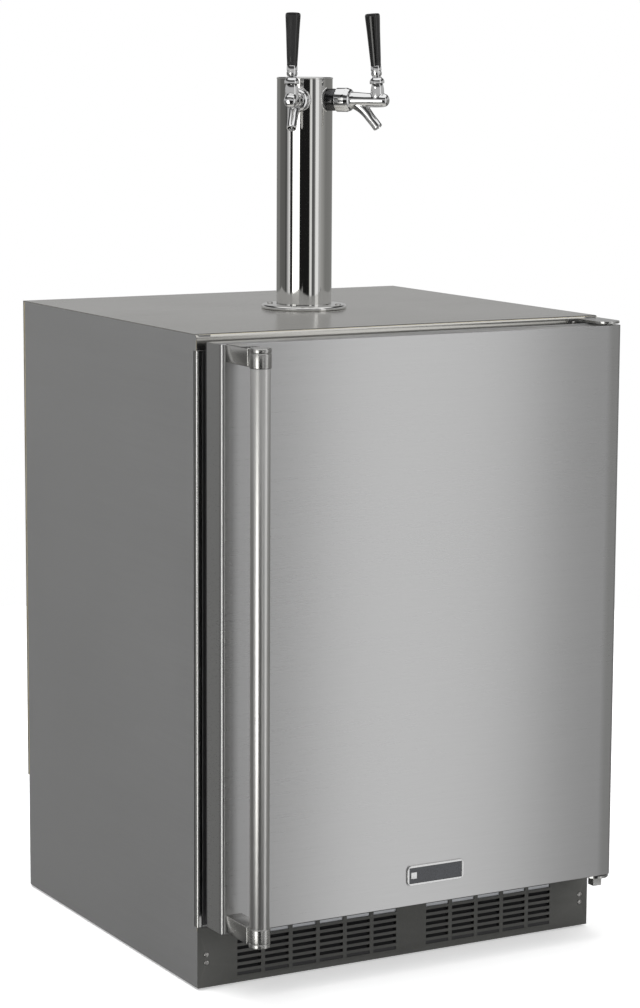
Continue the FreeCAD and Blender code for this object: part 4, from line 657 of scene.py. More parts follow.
def louvre_tree():
    # A grid of louvres with the place of one column left out.
    tree, given, out, ids = node_tree("louvre_rows", [
        ("Louvre", "NodeSocketObject"), ("Columns", "NodeSocketInt"), ("Rows", "NodeSocketInt"),
        ("Width", "NodeSocketFloat"), ("Height", "NodeSocketFloat"), ("Plain column", "NodeSocketInt"),
        ("Corner", "NodeSocketVector"), ("Finish", "NodeSocketMaterial")])
    grid = placed(tree, "GeometryNodeMeshGrid")
    index = placed(tree, "GeometryNodeInputIndex")
    column = placed(tree, "ShaderNodeMath", operation="DIVIDE")
    whole = placed(tree, "ShaderNodeMath", operation="FLOOR")
    plain = placed(tree, "ShaderNodeMath", {2: 0.1}, operation="COMPARE")
    drop = placed(tree, "GeometryNodeDeleteGeometry")
    stand = placed(tree, "GeometryNodeTransform", {"Rotation": (pi / 2, 0, 0)})
    louvre = placed(tree, "GeometryNodeObjectInfo")
    wired(tree, (given, "Width", grid, "Size X"), (given, "Height", grid, "Size Y"),
          (given, "Columns", grid, "Vertices X"), (given, "Rows", grid, "Vertices Y"),
          (index, 0, column, 0), (given, "Rows", column, 1), (column, 0, whole, 0),
          (whole, 0, plain, 0), (given, "Plain column", plain, 1), (grid, "Mesh", drop, "Geometry"),
          (plain, 0, drop, "Selection"), (drop, 0, stand, "Geometry"),
          (given, "Corner", stand, "Translation"), (given, "Louvre", louvre, "Object"))
    dressed_copies(tree, given, out, (stand, 0), louvre)
    return tree, ids


blade_line = [(0, 0), (2.2, 1.1), (4.6, 3.4), (4.3, 3.8), (1.9, 1.6), (0, 0.6)]
blade = extruded("louvre", blade_line, -17.6, 17.6, along_x)
plate_low, plate_high = edges("toe_grille")[:2]
slot_in, slot_wide, pitch, slot_low, row_step, columns, row_count = 57.6, 35.3, 41, 12, 8.7, 12, 8
first_left = -half_width + slot_in + slot_wide / 2
middle = Vector((first_left + pitch * 5.5, plate_high.y + 0.05, slot_low + row_step * 3.5 - 0.6))
louvres = linked("grille_louvres", bpy.data.meshes.new("grille_louvres"))
rows = louvres.modifiers.new("rows", "NODES")
rows.node_group, louvre_ids = louvre_tree()
for label, value in (("Louvre", blade), ("Columns", columns), ("Rows", row_count),
                     ("Width", pitch * (columns - 1) / 1000), ("Plain column", 6),
                     ("Height", row_step * (row_count - 1) / 1000), ("Corner", middle / 1000),
                     ("Finish", soft_black)):
    rows[louvre_ids[label]] = value
applied(louvres)
bpy.data.objects.remove(blade)
fitted(louvres, "cabinet", soft_black, "grille_black")
felts = [block("felt", (plate_low.x + 56, plate_high.y - 0.8, z - 0.4),
               (plate_high.x - 56, plate_high.y - 0.1, z + 5)) for z in (12, 72.9)]
fitted(joined("dust_felts", *felts), "cabinet", soft_black, "grille_black")

grille_spots = [(side * 290.5, plate_low.y, z) for side in (-1, 1) for z in (36, 47)]
screws_at("grille_head_screws", (3.5, 1.55, 1.4), faced(grille_spots, (0, -1, 0)), screw_steel,
          "grille_screws")

# ------------------------------------------------------- liner, foam and rim
# A white moulded tub with rounded corners, foam blown in behind it, and a
# black cover strip at each side of the mouth over the joint with the steel.

white_moulding = finish("white_moulding", (0.74, 0.745, 0.75), (0.82, 0.825, 0.83), (0.24, 0.38),
                        fineness=650, patch=5, bump=0.05, rub=0.1)
softened("moulded_tub", "cabinet_liner", 5, white_moulding, "white_liner", 5)
blown_foam = finish("blown_foam", (0.62, 0.50, 0.26), (0.78, 0.68, 0.42), (0.75, 0.95),
                    fineness=420, harsh=0.8, patch=30, bump=0.5, rub=0.0)
repainted("foam_insulation", blown_foam)
softened("black_rims", "rim_strips", 0.35, soft_black, "door_black")

# --------------------------------------------------------------------- door
# Stainless sheet wrapped round a foamed core: brushed across, its upright
# front edges rolled to a radius, its rear edges turned in over the back plate.

door_steel = finish("door_steel", (0.54, 0.54, 0.54), (0.60, 0.60, 0.60), (0.26, 0.31), 1.0,
                    stretch=(0.02, 0.4, 1), fineness=1300, patch=2.2, bump=0.010, rub=0.12)


def brushed_across(paint, amount):
    # Level brushing spreads a reflection upwards and downwards, and little to the sides.
    tree = paint.node_tree
    around = placed(tree, "ShaderNodeTangent", direction_type="RADIAL", axis="Z")
    face = tree.nodes["Principled BSDF"]
    face.inputs["Anisotropic"].default_value = amount
    face.inputs["Anisotropic Rotation"].default_value = 0.25
    wired(tree, (around, 0, face, "Tangent"))


brushed_across(door_steel, 0.85)
skin_low, skin_high = edges("door_skin")[:2]


def door_outline(near, far, side):
    # The last few centimetres at each side fall back a little before the rolled edge.
    fall, run = 2.3, 19
    rear, corner, bend, face = (-side, far), (-side, near + fall), (-side + run, near), (0, near)
    left = [Vector(rear), *eased([rear, corner, bend], 5.5, steps=8)[1:-1],
            *eased([corner, bend, face], 5, steps=5)[1:-1]]
    return left + [(-point.x, point.y) for point in reversed(left)]


def wrapped_door():
    outline = door_outline(skin_low.y, skin_high.y, skin_high.x)
    thing = extruded("wrapped_door_skin", outline, skin_low.z, skin_high.z)
    work = bmesh.new()
    work.from_mesh(thing.data)
    rear = [face for face in work.faces if face.normal.y > 0.99]
    bmesh.ops.inset_region(work, faces=rear, thickness=0.0075)
    bmesh.ops.delete(work, geom=rear, context="FACES")
    work.to_mesh(thing.data)
    work.free()
    smooth_shaded(thing)
    wall = thing.modifiers.new("sheet", "SOLIDIFY")
    wall.thickness = 0.001
    wall.offset = -1
    edge_bend(thing, 0.4, 2, 50, harden=False)
    flat = thing.modifiers.new("flat_faces", "WEIGHTED_NORMAL")
    flat.keep_sharp = True
    flat.weight = 100
    return applied(thing)


fitted(wrapped_door(), "door", door_steel, "brushed_steel", "door_skin")
core = extruded("door_core", door_outline(skin_low.y + 1.2, skin_high.y - 0.1, skin_high.x - 1.2),
                skin_low.z + 1.2, skin_high.z - 1.2)
fitted(core, "door", blown_foam, "foam", "door_foam")
black_moulding = finish("black_moulding", (0.010, 0.010, 0.010), (0.024, 0.024, 0.025), (0.34, 0.5),
                        fineness=800, patch=9, bump=0.1, rub=0.1)
softened("door_back_plate", "door_liner", 1.6, black_moulding, "door_black", 4)

# -------------------------------------------------------------- door gasket
# An extruded rubber ring, mitred at its corners: a foot in the plate's edge,
# a folded bellows, and a soft tube that holds the magnet against the cabinet.

seal_low, seal_high = edges("door_gasket")[:2]
seal_line = [(1.5, 0), (12.5, 0), (12.5, 1.6), (9.5, 2.2), (12.6, 4.1), (9.6, 6.0), (12.8, 7.2),
             (13.8, 8.2), (14, 10.6), (13, 11.4), (1, 11.4), (0, 10.4), (0.2, 8.2), (1.4, 7.2),
             (4.6, 6.0), (1.4, 4.1), (4.6, 2.2), (1.5, 1.6)]
seal_corners = []
for inset, reach in eased(seal_line, 0.6, True, 2):
    for x, z in ((1, 1), (-1, 1), (-1, -1), (1, -1)):
        seal_corners.append(((seal_high.x - inset) * x, seal_low.y + reach,
                             seal_high.z - inset if z > 0 else seal_low.z + inset))
seal_faces = laced(even_rings(len(seal_corners) // 4, 4), True)
fitted(made("bellows_gasket", seal_corners, seal_faces), "door", soft_black, "seal_black",
       "door_gasket")

# --------------------------------------------------------------- bar handle
# A satin stainless tube along the hinge-free edge, held at each end in a
# turned collar with a fine groove, on a square arm screwed through the skin.

# Stainless steel, partly its own tone and partly a painted highlight: its colour is raised well above the
# arm steel so the bar looks as bright as the light it catches.
bar_steel = finish("bar_steel", (0.70, 0.695, 0.68), (0.82, 0.815, 0.80), (0.28, 0.34), 1.0,
                   stretch=(1, 1, 0.02), fineness=700, patch=8, bump=0.02, rub=0.1)
arm_steel = finish("arm_steel", (0.50, 0.495, 0.485), (0.62, 0.615, 0.60), (0.20, 0.30), 1.0,
                   stretch=(1, 0.05, 1), fineness=800, patch=10, bump=0.03, rub=0.2)
bar_low, bar_high = edges("handle_bar")[:2]
cap_low, cap_high = edges("handle_brackets")[:2]
bar_middle = moved((bar_low.x + bar_high.x) / 2, (bar_low.y + bar_high.y) / 2, 0)
tube = eased([(12.5, bar_low.z), (12.5, bar_high.z), (11, bar_high.z), (11, bar_low.z)], 0.3, True, 2)
fitted(spun("handle_tube", tube, bar_middle, 96, ring=True), "door",
       bar_steel, "brushed_steel", "handle_bar")
ends = []
for base, flip in ((cap_low.z, 1), (cap_high.z, -1)):
    line = [(0, 0), (12.9, 0), (13.75, 0.9), (13.75, 5.2), (13.2, 5.7), (13.2, 6.5), (13.75, 7.0),
            (13.75, 24), (13.3, 25), (12.55, 25), (12.55, 4), (0, 4)]
    line = [(radius, base + flip * height) for radius, height in line]
    collar = spun("collar", eased(line, 0.35, steps=2), bar_middle, 96)
    mid_x, mid_y = bar_middle.translation.x, bar_middle.translation.y
    middle_z = base + flip * 12.5
    arm = block("arm", (mid_x - 11.5, mid_y + 12.7, middle_z - 11.5),
                (mid_x + 11.5, skin_low.y, middle_z + 11.5), None, 1.2)
    ends += [collar, arm]
fitted(joined("handle_ends", *ends), "door", arm_steel, "brushed_steel", "handle_brackets")

# -------------------------------------------------------------------- badge
# A small cast plate, bright raised frame round a dark enamelled field, with
# one plain square. It is left blank and is glued to the door's lower middle.

badge_steel = finish("badge_steel", (0.62, 0.62, 0.62), (0.80, 0.80, 0.80), (0.12, 0.22), 1.0,
                     fineness=900, patch=30, bump=0.02, rub=0.2)
softened("badge_frame", "badge_plate", 0.5, badge_steel, "badge", 2)
enamel = finish("badge_enamel", (0.012, 0.014, 0.018), (0.03, 0.033, 0.04), (0.1, 0.2),
                fineness=500, patch=60, bump=0.02, rub=0.0, sockets={"Coat Weight": 0.6})
plate_low, plate_high = edges("badge_plate")[:2]
field = block("badge_field", (plate_low.x + 3.1, plate_low.y + 0.75, plate_low.z + 3.1),
              (plate_high.x - 3.1, plate_low.y + 1.4, plate_high.z - 3.1), None, 0.3, 2)
fitted(field, "door", enamel, "badge")

# ------------------------------------------------------------- door hinges
# Plated steel brackets over and under the door, each with a turned pin that
# runs in a flanged nylon bushing, and screwed to the cabinet's front.

hinge_zinc = finish("hinge_zinc", (0.44, 0.44, 0.43), (0.66, 0.66, 0.65), (0.16, 0.3), 1.0,
                    fineness=500, patch=30, bump=0.03, rub=0.3)
softened("hinge_plates", "hinge_brackets", 0.5, hinge_zinc, "zinc_steel")
hinge_low, hinge_high = edges("hinge_brackets")[:2]
top_face, low_face = front - 4, front - 3
top_z = hinge_high.z - 3 - 4 - 0.3
hinge_spots = [(half_width - 51 + 10, top_face, top_z), (half_width - 51 + 38, top_face, top_z),
               (291, low_face, hinge_low.z + 13 + 13), (291, low_face, hinge_low.z + 13 + 27)]
screws_at("hinge_head_screws", (3.9, 1.55, 2.8), faced(hinge_spots, (0, -1, 0)), screw_steel,
          "hinge_screws")
nylon = finish("nylon", (0.66, 0.65, 0.60), (0.78, 0.77, 0.73), (0.35, 0.5), fineness=700,
               patch=30, bump=0.05, rub=0.0, sockets={"Subsurface Weight": 0.1})
softened("nylon_bushings", "hinge_bushings", 0.3, nylon, "bushing", 2)

# ------------------------------------------------------- cold coil and its fan
# Aluminium fins on straight tubes behind a white vented cover. A small fan
# with four moulded blades draws the air through, on a can motor on a cross arm.


fin_metal = finish("fin_metal", (0.58, 0.59, 0.60), (0.74, 0.75, 0.76), (0.24, 0.4), 1.0,
                   stretch=(1, 1, 0.05), fineness=700, patch=20, bump=0.03, rub=0.3)
repainted("evaporator_coil", fin_metal)
softened("coil_cover", "evaporator_cover", 2.2, white_moulding, "white_liner", 4)
fan_moulding = finish("fan_moulding", (0.014, 0.014, 0.015), (0.035, 0.035, 0.037), (0.3, 0.46),
                      fineness=600, patch=30, bump=0.06, rub=0.2)


def fan_blade(hub_r, tip_r, width):
    # A thin blade, pitched more at its root than at its tip and cupped along its chord.
    corners, faces, rows, columns = [], [], 9, 8
    for side in (0, 1.3):
        for row in range(rows):
            along = row / (rows - 1)
            radius = hub_r * 0.9 + (tip_r - 0.4 - hub_r * 0.9) * along
            half = radians(31 - 6 * along) * (1 - 0.35 * max(0, along - 0.8) / 0.2)
            for column in range(columns):
                across = 2 * column / (columns - 1) - 1
                turn = across * half + 0.25 * along
                pitch = (width - 3.4) / 2 * (1 - across * (1 - 0.3 * along))
                lift = pitch + 0.9 * (1 - across * across)
                corners.append((radius * cos(turn), radius * sin(turn),
                                lift * 0.8 + side + 0.5))
    per = rows * columns
    for row in range(rows - 1):
        for column in range(columns - 1):
            spot = row * columns + column
            faces.append([spot, spot + 1, spot + columns + 1, spot + columns])
            faces.append([per + spot, per + spot + columns, per + spot + columns + 1, per + spot + 1])
    rim = ([*range(columns)] + [row * columns + columns - 1 for row in range(1, rows)]
           + [(rows - 1) * columns + column for column in range(columns - 2, -1, -1)]
           + [row * columns for row in range(rows - 2, 0, -1)])
    for here, after in zip(rim, rim[1:] + rim[:1]):
        faces.append([here, after, per + after, per + here])
    return made("blade", corners, faces)


def moulded_fan(name, node, body, centre_x, centre_z, hub_r, tip_r, width, blades):
    low, high = edges(node)[:2]
    spots = [((centre_x, low.y, centre_z), (0, 1, 0), 2 * pi * turn / blades)
             for turn in range(blades)]
    vanes = set_out(f"{name}_vanes", fan_blade(hub_r, tip_r, width), spots, fan_moulding)
    reach = high.y - low.y
    line = [(0, 1.2), (hub_r - 4, 0.9), (hub_r - 1.5, 0), (hub_r, 1.4), (hub_r, width),
            (hub_r - 2, width), (hub_r - 2, 2.6), (5, 2.6), (5, width), (3, width), (3, reach),
            (0, reach)]
    hub = spun(f"{name}_hub", eased(line, 0.5, steps=2),
               moved(centre_x, low.y, centre_z) @ turned(-90, "X"), 48)
    fitted(joined(f"{name}_moulded", vanes, hub), body, fan_moulding, "fan_plastic", node)


cold_middle = edges("evaporator_fan")[2]
moulded_fan("cold_fan", "evaporator_fan", "cold_fan", cold_middle.x, cold_middle.z, 13, 42, 8, 4)
motor_steel = finish("motor_steel", (0.11, 0.11, 0.115), (0.19, 0.19, 0.20), (0.36, 0.5), 0.6,
                     fineness=500, patch=24, bump=0.06, rub=0.6)
softened("fan_motor_cans", "fan_motors", 1.0, motor_steel, "motor_steel")

# ------------------------------------------------- control box, knob and lamp
# A moulded box under the ceiling with a ribbed thermostat knob on its front,
# white dots for the settings round it, and a milky lamp lens beside it.

softened("control_case", "control_box", 2.5, white_moulding, "white_liner", 4)
knob_moulding = finish("knob_moulding", (0.045, 0.046, 0.048), (0.085, 0.086, 0.09), (0.34, 0.5),
                       fineness=900, patch=40, bump=0.08, rub=0.4)
knob_x, knob_z = edges("thermostat_knob")[2].x, edges("control_box")[2].z
face_forward = turned(90, "X")
knob_back = edges("control_box")[0].y - 0.5
at_knob = moved(knob_x, knob_back, knob_z) @ face_forward
knob_line = [(0, -10), (3, -10), (3, 0), (15.4, 0), (16, 0.8), (16, 3), (15, 4), (14, 12.6), (12.6, 13.9),
             (9, 13.6), (0, 13.2)]
knob = spun("knob", eased(knob_line, 0.6, steps=2), at_knob, 120,
            lobes=ribbed(0.045, 20, 3.5, 13))
pointer = block("pointer", (-0.9, 2.5, 12.6), (0.9, 15.2, 14.6), at_knob, 0.4, 2)
fitted(joined("ribbed_knob", knob, pointer), "thermostat", knob_moulding, "knob_grey",
       "thermostat_knob")
dot_ink = finish("dot_ink", (0.02, 0.03, 0.06), (0.03, 0.05, 0.10), (0.3, 0.4), fineness=400, patch=40,
                 bump=0.01, rub=0.0)
dots = [((knob_x + 19.6 * sin(turn) * 0.82, knob_back + 0.5, knob_z - 1 + 15.4 * cos(turn)),
         (0, -1, 0), 0) for turn in (radians(-135 + 45 * stop) for stop in range(7))]
dots = [(place, way, spin) for place, way, spin in dots if place[2] < knob_z + 15.5]
dot = spun("dot", [(0, -0.2), (0.8, -0.2), (0.8, 0.12), (0.6, 0.2), (0, 0.2)], None, 16)
fitted(set_out("setting_dots", dot, dots, dot_ink), "cabinet", dot_ink, "knob_grey")
milky_lens = finish("milky_lens", (0.78, 0.77, 0.72), (0.88, 0.87, 0.83), (0.15, 0.28),
                    stretch=(1, 0.1, 1), fineness=300, patch=40, bump=0.04, rub=0.0,
                    sockets={"Subsurface Weight": 0.2})
softened("lamp_cover", "interior_lamp", 3.2, milky_lens, "lamp_lens", 5)

# ------------------------------------------ gas bottle, valve and regulator
# A spun aluminium bottle on a bent shelf with a strap, its brass valve and
# scalloped wheel, and a regulator with two gauges and a ribbed pressure knob.

spun_aluminium = finish("spun_aluminium", (0.46, 0.47, 0.48), (0.62, 0.63, 0.64), (0.24, 0.36), 1.0,
                        stretch=(0.3, 0.3, 1), fineness=700, patch=10, bump=0.04, rub=0.3)
machined_brass = finish("machined_brass", (0.56, 0.37, 0.13), (0.74, 0.53, 0.24), (0.16, 0.3), 1.0,
                        fineness=700, patch=24, bump=0.03, rub=0.3)
softened("bottle_shelf", "co2_bracket", 0.4, zinc_sheet, "galvanised_steel")
low, high, middle = edges("co2_cylinder")
bottle_line = [(0, 3), (34, 2.4), (44, 0), (50.5, 0), (55.5, 7), (55.5, 290), (50.5, 306), (43.2, 324.5),
               (28, 340), (18, 345), (16.2, 347.5), (16, 350), (0, 350)]
at_bottle = moved(middle.x, middle.y, low.z)
fitted(spun("spun_bottle", eased(bottle_line, 4, steps=5), at_bottle, 112),
       "cabinet", spun_aluminium, "gas_aluminium", "co2_cylinder")
softened("brass_valve", "co2_valve", 0.9, machined_brass, "brass")
wheel_base = edges("co2_handwheel")[1].z - 11
wheel_line = [(0, -17.5), (4, -17.5), (4, 0), (17, 0), (20, 1.4), (20, 9), (18, 11), (12, 10.4), (8, 8.6),
              (5, 8.6), (4.6, 10.6), (0, 10.8)]
at_wheel = moved(edges("co2_cylinder")[2].x, edges("co2_cylinder")[2].y, wheel_base)
wheel = spun("scalloped_wheel", eased(wheel_line, 0.8, steps=3), at_wheel, 144,
             lobes=ribbed(0.2, 6, 0, 20, 3))
fitted(wheel, "gas_wheel", knob_moulding, "knob_grey", "co2_handwheel")
softened("regulator_casting", "regulator_body", 1.0, machined_brass, "brass", 4)
low, high, middle = edges("regulator_knob")
reach = high.y - low.y
dial_line = [(0, 0.9), (9, 0.6), (12.8, 0), (14.4, 1.2), (15, 4), (15, 24), (14, 26), (3, 26),
             (3, reach), (0, reach)]
at_dial = moved(middle.x, low.y, middle.z) @ turned(-90, "X")
fitted(spun("ribbed_dial", eased(dial_line, 0.8, steps=3), at_dial, 128,
            lobes=ribbed(0.06, 16, 4, 24)),
       "pressure_knob", knob_moulding, "knob_grey", "regulator_knob")
gauge_case = finish("gauge_case", (0.018, 0.018, 0.02), (0.045, 0.045, 0.048), (0.2, 0.34), 0.2,
                    fineness=600, patch=30, bump=0.04, rub=0.5)
softened("gauge_cases", "regulator_gauges", 1.2, gauge_case, "gauge")
dial_white = finish("dial_white", (0.80, 0.80, 0.78), (0.88, 0.88, 0.86), (0.25, 0.35), fineness=400,
                    patch=60, bump=0.01, rub=0.0, sockets={"Coat Weight": 0.8})
dial_ink = finish("dial_ink", (0.01, 0.01, 0.012), (0.03, 0.03, 0.035), (0.3, 0.4), fineness=500,
                  patch=60, bump=0.01, rub=0.0)
low, high, middle = edges("regulator_gauges")
faces, ticks = [], []
for centre_x, centre_z in ((low.x + 24, low.z + 24), (high.x - 24, high.z - 24)):
    at_face = moved(centre_x, low.y, centre_z) @ face_forward
    faces.append(spun("dial", [(0, 0.1), (21, 0.1), (21, 0.3), (20.6, 0.5), (0, 0.5)], at_face, 64))
    for mark in range(19):
        spin = turned(135 - 15 * mark, "Z")
        start = 15.4 if mark % 3 == 0 else 17.4
        ticks.append(block("tick", (-0.3, start, 0.45), (0.3, 19.4, 0.6), at_face @ spin))
    ticks.append(extruded("needle", [(-1, -4), (1, -4), (0.25, 16), (-0.25, 16)], 0.6, 0.8,
                          at_face @ turned(52, "Z")))
    ticks.append(spun("needle_hub", [(0, 0.4), (2.2, 0.4), (2.2, 1), (1.4, 1.2), (0, 1.2)], at_face, 24))
fitted(joined("dial_faces", *faces), "cabinet", dial_white, "gauge")
fitted(joined("dial_marks", *ticks), "cabinet", dial_ink, "gauge")

# -------------------------------------------------------------- machine bay
# A black compressor on rubber feet, the copper discharge line, the finned hot
# coil with its shroud and five-bladed blower, and the tray that melts dry.

compressor_paint = finish("compressor_paint", (0.010, 0.010, 0.011), (0.026, 0.026, 0.028), (0.22, 0.4),
                          fineness=260, harsh=0.7, patch=14, bump=0.12, rub=0.6)
softened("compressor_shell", "compressor", 7, compressor_paint, "compressor_black", 5)
drawn_copper = finish("drawn_copper", (0.52, 0.24, 0.14), (0.72, 0.38, 0.25), (0.2, 0.36), 1.0,
                      fineness=500, patch=24, bump=0.03, rub=0.2)
repainted("refrigerant_line", drawn_copper)
repainted("condenser_coil", fin_metal)
softened("blower_shroud", "condenser_shroud", 1.5, fan_moulding, "fan_plastic")
shroud_middle = edges("condenser_shroud")[2]
moulded_fan("blower", "condenser_fan", "blower", shroud_middle.x, shroud_middle.z, 20, 60, 12, 5)
softened("melt_tray", "drain_pan", 1.0, fan_moulding, "fan_plastic")

# -------------------------------------------------------------------- tower
# A mirror-polished stainless column on a turned flange, closed by a thin cap,
# with four screws through the flange and two beer lines up the inside.

mirror_steel = finish("mirror_steel", (0.70, 0.695, 0.68), (0.78, 0.775, 0.76), (0.035, 0.07), 1.0,
                      stretch=(1, 1, 0.04), fineness=300, patch=5, bump=0.002, rub=0.0)
column_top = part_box("tower_column")[1].z * 1000
flange_line = [(30, roof_top), (59, roof_top), (59, 857.6), (57.4, 859.5), (36.6, 859.5),
               (36.6, 875.5), (30, 875.5)]
flange_line = eased(flange_line, 1.1, True, 4)
fitted(spun("turned_flange", flange_line, tower_middle, 144, ring=True), "cabinet",
       mirror_steel, "polished_steel", "tower_flange")
column_line = [(38.1, 859.5), (38.1, 1010), (38.1, column_top), (36.6, column_top), (36.6, 859.5)]
column = spun("polished_column", column_line, tower_middle, 160, ring=True)
fitted(column, "cabinet", mirror_steel, "polished_steel", "tower_column")
cap_line = [(0, column_top - 10), (36.4, column_top - 10), (36.4, column_top), (38.6, column_top),
            (38.6, column_top + 1.7), (37.2, column_top + 2.7), (20, column_top + 2.95),
            (0, column_top + 3)]
fitted(spun("column_cap", eased(cap_line, 0.6), tower_middle, 144), "cabinet",
       mirror_steel, "polished_steel", "tower_cap")
flange_spots = [((49 * cos(turn), TOWER_Y + 49 * sin(turn), 859.5), (0, 0, 1), turn * 1.7)
                for turn in (radians(45 + 90 * quarter) for quarter in range(4))]
screws_at("flange_head_screws", (4, 1.8, 5), flange_spots, mirror_steel, "tower_screws")
line_plastic = finish("line_plastic", (0.50, 0.53, 0.55), (0.64, 0.67, 0.69), (0.2, 0.34),
                      stretch=(1, 1, 0.1), fineness=500, patch=20, bump=0.03, rub=0.0,
                      sockets={"Subsurface Weight": 0.15})
repainted("tower_beer_lines", line_plastic)

# ------------------------------------------------- faucet shanks and couplings
# A threaded shank goes through the column with a dark collar against it. The
# chromed coupling nut is finger-lobed, and pulls the faucet onto the shank.

chrome = finish("chrome", (0.80, 0.80, 0.80), (0.86, 0.86, 0.86), (0.03, 0.075), 1.0,
                fineness=260, patch=30, bump=0.004, rub=0.0)
dark_chrome = finish("dark_chrome", (0.055, 0.055, 0.056), (0.11, 0.11, 0.112), (0.16, 0.28), 1.0,
                     stretch=(0.05, 1, 1), fineness=600, patch=30, bump=0.02, rub=0.4)
FACING = {"left": -128, "right": -52}
lay_down = turned(90, "Y")


def along_faucet(side):
    # The faucet's own frame: x out from the tower's axis, z up.
    return moved(0, TOWER_Y, 1139.5) @ turned(FACING[side], "Z")


shanks, nuts = [], []
for side in FACING:
    barrel = along_faucet(side) @ lay_down
    thread = []
    for turn in range(6):
        base = 49 + turn * 1.5
        thread += [(8, base), (8, base + 0.35), (7.4, base + 0.75), (7.4, base + 1.1)]
    line = [(3, 18), (8, 18), (8, 34.6), (13.2, 35), (15, 36.6), (15, 44), (14.4, 46.8), (13, 48),
            (8, 48)] + thread + [(7.4, 57.9), (3, 57.9)]
    shanks.append(spun("shank", eased(line, 0.5, True, 2), barrel, 72, ring=True))
    line = [(8.1, 48.1), (15.2, 48.1), (16.5, 49.4), (16.5, 62.8), (15.4, 65.2), (14.7, 68), (12.1, 70),
            (8.1, 70)]
    nuts.append(spun("nut", eased(line, 0.7, True, 3), barrel, 96, ring=True,
                     lobes=ribbed(0.055, 8, 49.5, 63, 2)))
fitted(joined("threaded_shanks", *shanks), "cabinet", dark_chrome, "shank_collar", "faucet_shanks")
fitted(joined("lobed_couplings", *nuts), "cabinet", chrome, "chrome", "coupling_nuts")

# ------------------------------------------------------------ faucet bodies
# One chromed brass casting a side: barrel, domed boss and a swan-necked spout
# run into each other with no seam. The bores and slots are cut afterwards.


def swept(name, path, where):
    # A round arm through (x, z, radius) stations, with rings square to its line.
    steps, corners = 40, []
    for index, (x, z, radius) in enumerate(path):
        before, after = path[max(0, index - 1)], path[min(len(path) - 1, index + 1)]
        slope = Vector((after[0] - before[0], 0, after[1] - before[1])).normalized()
        across = Vector((0, 1, 0)).cross(slope)
        for step in range(steps):
            turn = 2 * pi * step / steps
            corners.append(Vector((x, 0, z)) + across * radius * cos(turn)
                           + Vector((0, radius * sin(turn), 0)))
    rings = even_rings(len(path), steps)
    return made(name, corners, laced(rings) + [rings[0], rings[-1]], where)


def drawn_through(stations, steps=6):
    # Catmull-Rom line through the stations, so that the arm bends evenly.
    ends = [stations[0], *stations, stations[-1]]
    result = []
    for index in range(len(stations) - 1):
        a, b, c, d = (Vector(point) for point in ends[index:index + 4])
        for step in range(steps):
            t = step / steps
            result.append(0.5 * (2 * b + (c - a) * t + (2 * a - 5 * b + 4 * c - d) * t ** 2
                                 + (3 * b - a - 3 * c + d) * t ** 3))
    return result + [Vector(stations[-1])]


def cast_body(side):
    frame_of = along_faucet(side)
    barrel = frame_of @ lay_down
    line = [(0, 68), (10.4, 68), (11, 71), (10.8, 76), (10.2, 84), (9.6, 94), (9.7, 106), (9.4, 113),
            (9.1, 117), (7.9, 120.6), (5.6, 122.8), (2.6, 123.5), (0, 123.5)]
    body = spun("barrel", eased(line, 1.5, steps=3), barrel, 64)
    boss = [(0, -6), (7.4, -5), (9, 0), (9.3, 5), (9.1, 11), (8.9, 14), (8.7, 17), (7.8, 21.4),
            (5.5, 24.4), (0, 26)]
    post = spun("boss", eased(boss, 1.5, steps=3),
                frame_of @ moved(107, 0, 0), 64)
    bend = drawn_through([(68.5, -1.5, 9), (76.5, -4.6, 8.8), (84.5, -9.8, 8.2), (91.4, -16.6, 7.3),
                          (97.4, -23.9, 6.8), (103.2, -30.4, 6.75), (108.6, -37, 6.75)])
    spout = swept("spout", bend, frame_of)
    body = joined("faucet", body, post, spout)
    skin = body.modifiers.new("one_casting", "REMESH")
    skin.mode = "VOXEL"
    skin.voxel_size = 0.0007
    eased_skin = body.modifiers.new("polished", "SMOOTH")
    eased_skin.factor = 0.5
    eased_skin.iterations = 7
    applied(body)
    upright = frame_of @ Matrix(((1, 0, 0, 0), (0, 0, 1, 0), (0, 1, 0, 0), (0, 0, 0, 1)))
    arm_room = extruded("arm_room", [(103.5, 17), (91.5, 0), (111.5, 0), (110.5, 17)], -3.1, 3.1, upright)
    neck_room = extruded("neck_room", [(102, 17), (98.8, 37), (125, 37), (112, 17)], -4, 4, upright)
    ball = [(5.8 * sin(pi * step / 20), 17 - 5.8 * cos(pi * step / 20))
            for step in range(21)]
    ball_room = spun("ball_room", ball, frame_of @ moved(107, 0, 0), 40)
    pin_room = spun("pin_room", [(0, -12), (1.55, -12), (1.55, 12), (0, 12)],
                    frame_of @ moved(107, 0, 17) @ turned(90, "X"), 24)
    rod_room = spun("rod_room", [(0, 60), (6.3, 60), (6.3, 117.4), (0, 117.4)], barrel, 40)
    spout_way = (frame_of @ moved(79, 0, 0)
                 @ turned(90 + 51.3, "Y"))
    spout_room = spun("spout_room", [(0, 3.9), (5, 3.9), (5, 46.2), (5.4, 47.4), (5.4, 60), (0, 60)],
                      spout_way, 48)
    for room in (rod_room, spout_room, arm_room, neck_room, ball_room, pin_room):
        body = carved(body, room)
    return smooth_shaded(body, 40)


fitted(joined("cast_faucets", *[cast_body(side) for side in FACING]), "cabinet", chrome, "chrome",
       "faucet_bodies")
turned_steel = finish("turned_steel", (0.56, 0.56, 0.55), (0.68, 0.68, 0.67), (0.14, 0.24), 1.0,
                      fineness=900, patch=30, bump=0.02, rub=0.2)

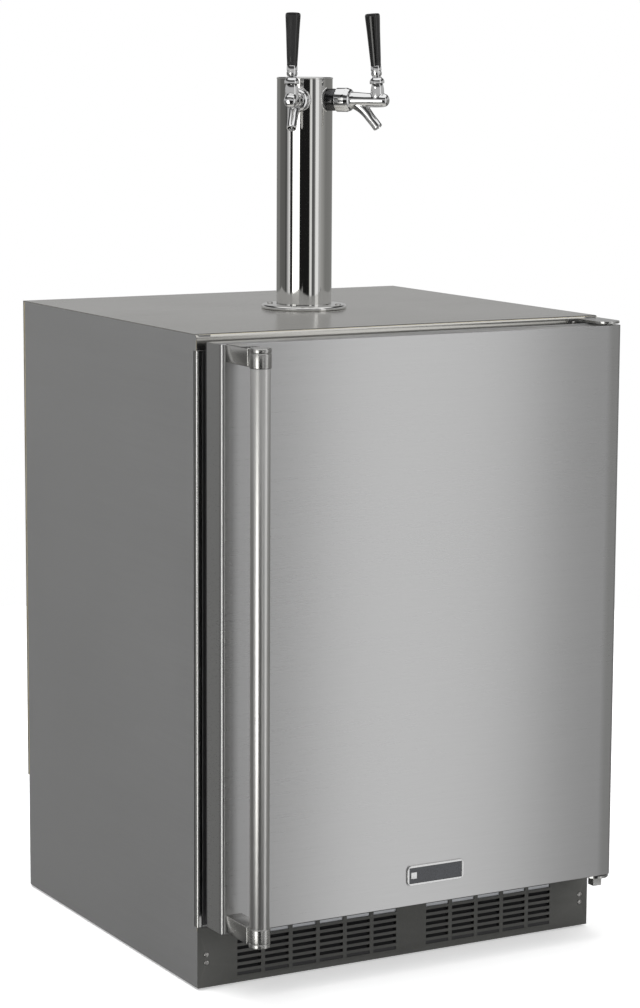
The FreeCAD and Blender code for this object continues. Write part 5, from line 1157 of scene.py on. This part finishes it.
# ------------------------------------------------------- tap levers and handles
# A turned lever with a ball between its arm and its neck, a bell-shaped collar
# over the dome, a long ferrule, and a glossy black handle screwed on its stud.

tap_black = finish("tap_black", (0.006, 0.006, 0.006), (0.014, 0.014, 0.014), (0.07, 0.15),
                   stretch=(1, 1, 0.3), fineness=500, patch=30, bump=0.01, rub=0.0,
                   sockets={"Coat Weight": 0.35, "Coat Roughness": 0.05})
for side in FACING:
    stand = (along_faucet(side) @ moved(107, 0, 17)
             @ turned(-4.9, "Y"))
    ball = [(5.5 * sin(turn), -5.5 * cos(turn))
            for turn in (pi * step / 24 for step in range(3, 19))]
    bell = [(9.99 * cos(turn), 9.99 * sin(turn))
            for turn in (radians(angle) for angle in (69, 60, 50, 40, 31))]
    line = ([(0, -19), (2.1, -19), (2.5, -18.4), (2.5, -15.6), (2, -15), (2, -5.2)] + ball
            + [(3.5, 4.6), (3.5, 9.36)] + bell
            + [(9.2, 5.1), (10, 5.6), (10, 8.6), (9.2, 10.8), (7.4, 12.6), (6.3, 13.5), (6.0, 15.5),
               (6.9, 16.6), (7.25, 17.8), (7.25, 20.6), (6.6, 21.4), (6.6, 22.2), (7.25, 23),
               (7.25, 28.2), (6.8, 28.9), (4, 28.9), (4, 40.4), (3.4, 40.9), (0, 40.9)])
    lever = spun("lever", line, stand, 64)
    pin = spun("pin", [(0, -8.5), (1.2, -8.5), (1.5, -8.2), (1.5, 8.2), (1.2, 8.5), (0, 8.5)],
               stand @ turned(90, "X"), 24)
    fitted(joined(f"{side}_turned_lever", lever, pin), f"{side}_lever", chrome, "chrome",
           f"{side}_tap_lever")
    grip = [(4.02, 28.9), (6.5, 28.9), (7.05, 29.5), (7.05, 33), (7.5, 40), (9.1, 76), (10.05, 92),
            (10.25, 96), (9.7, 98.2), (8.2, 99.0), (0, 99.1)]
    grip = eased(grip, 1.2, steps=3) + [(0, 40.92), (4.02, 40.92)]
    fitted(spun(f"{side}_black_handle", grip, stand, 64, ring=True), f"{side}_lever", tap_black,
           "tap_black", f"{side}_tap_handle")
    repainted(f"{side}_faucet_shaft", turned_steel)
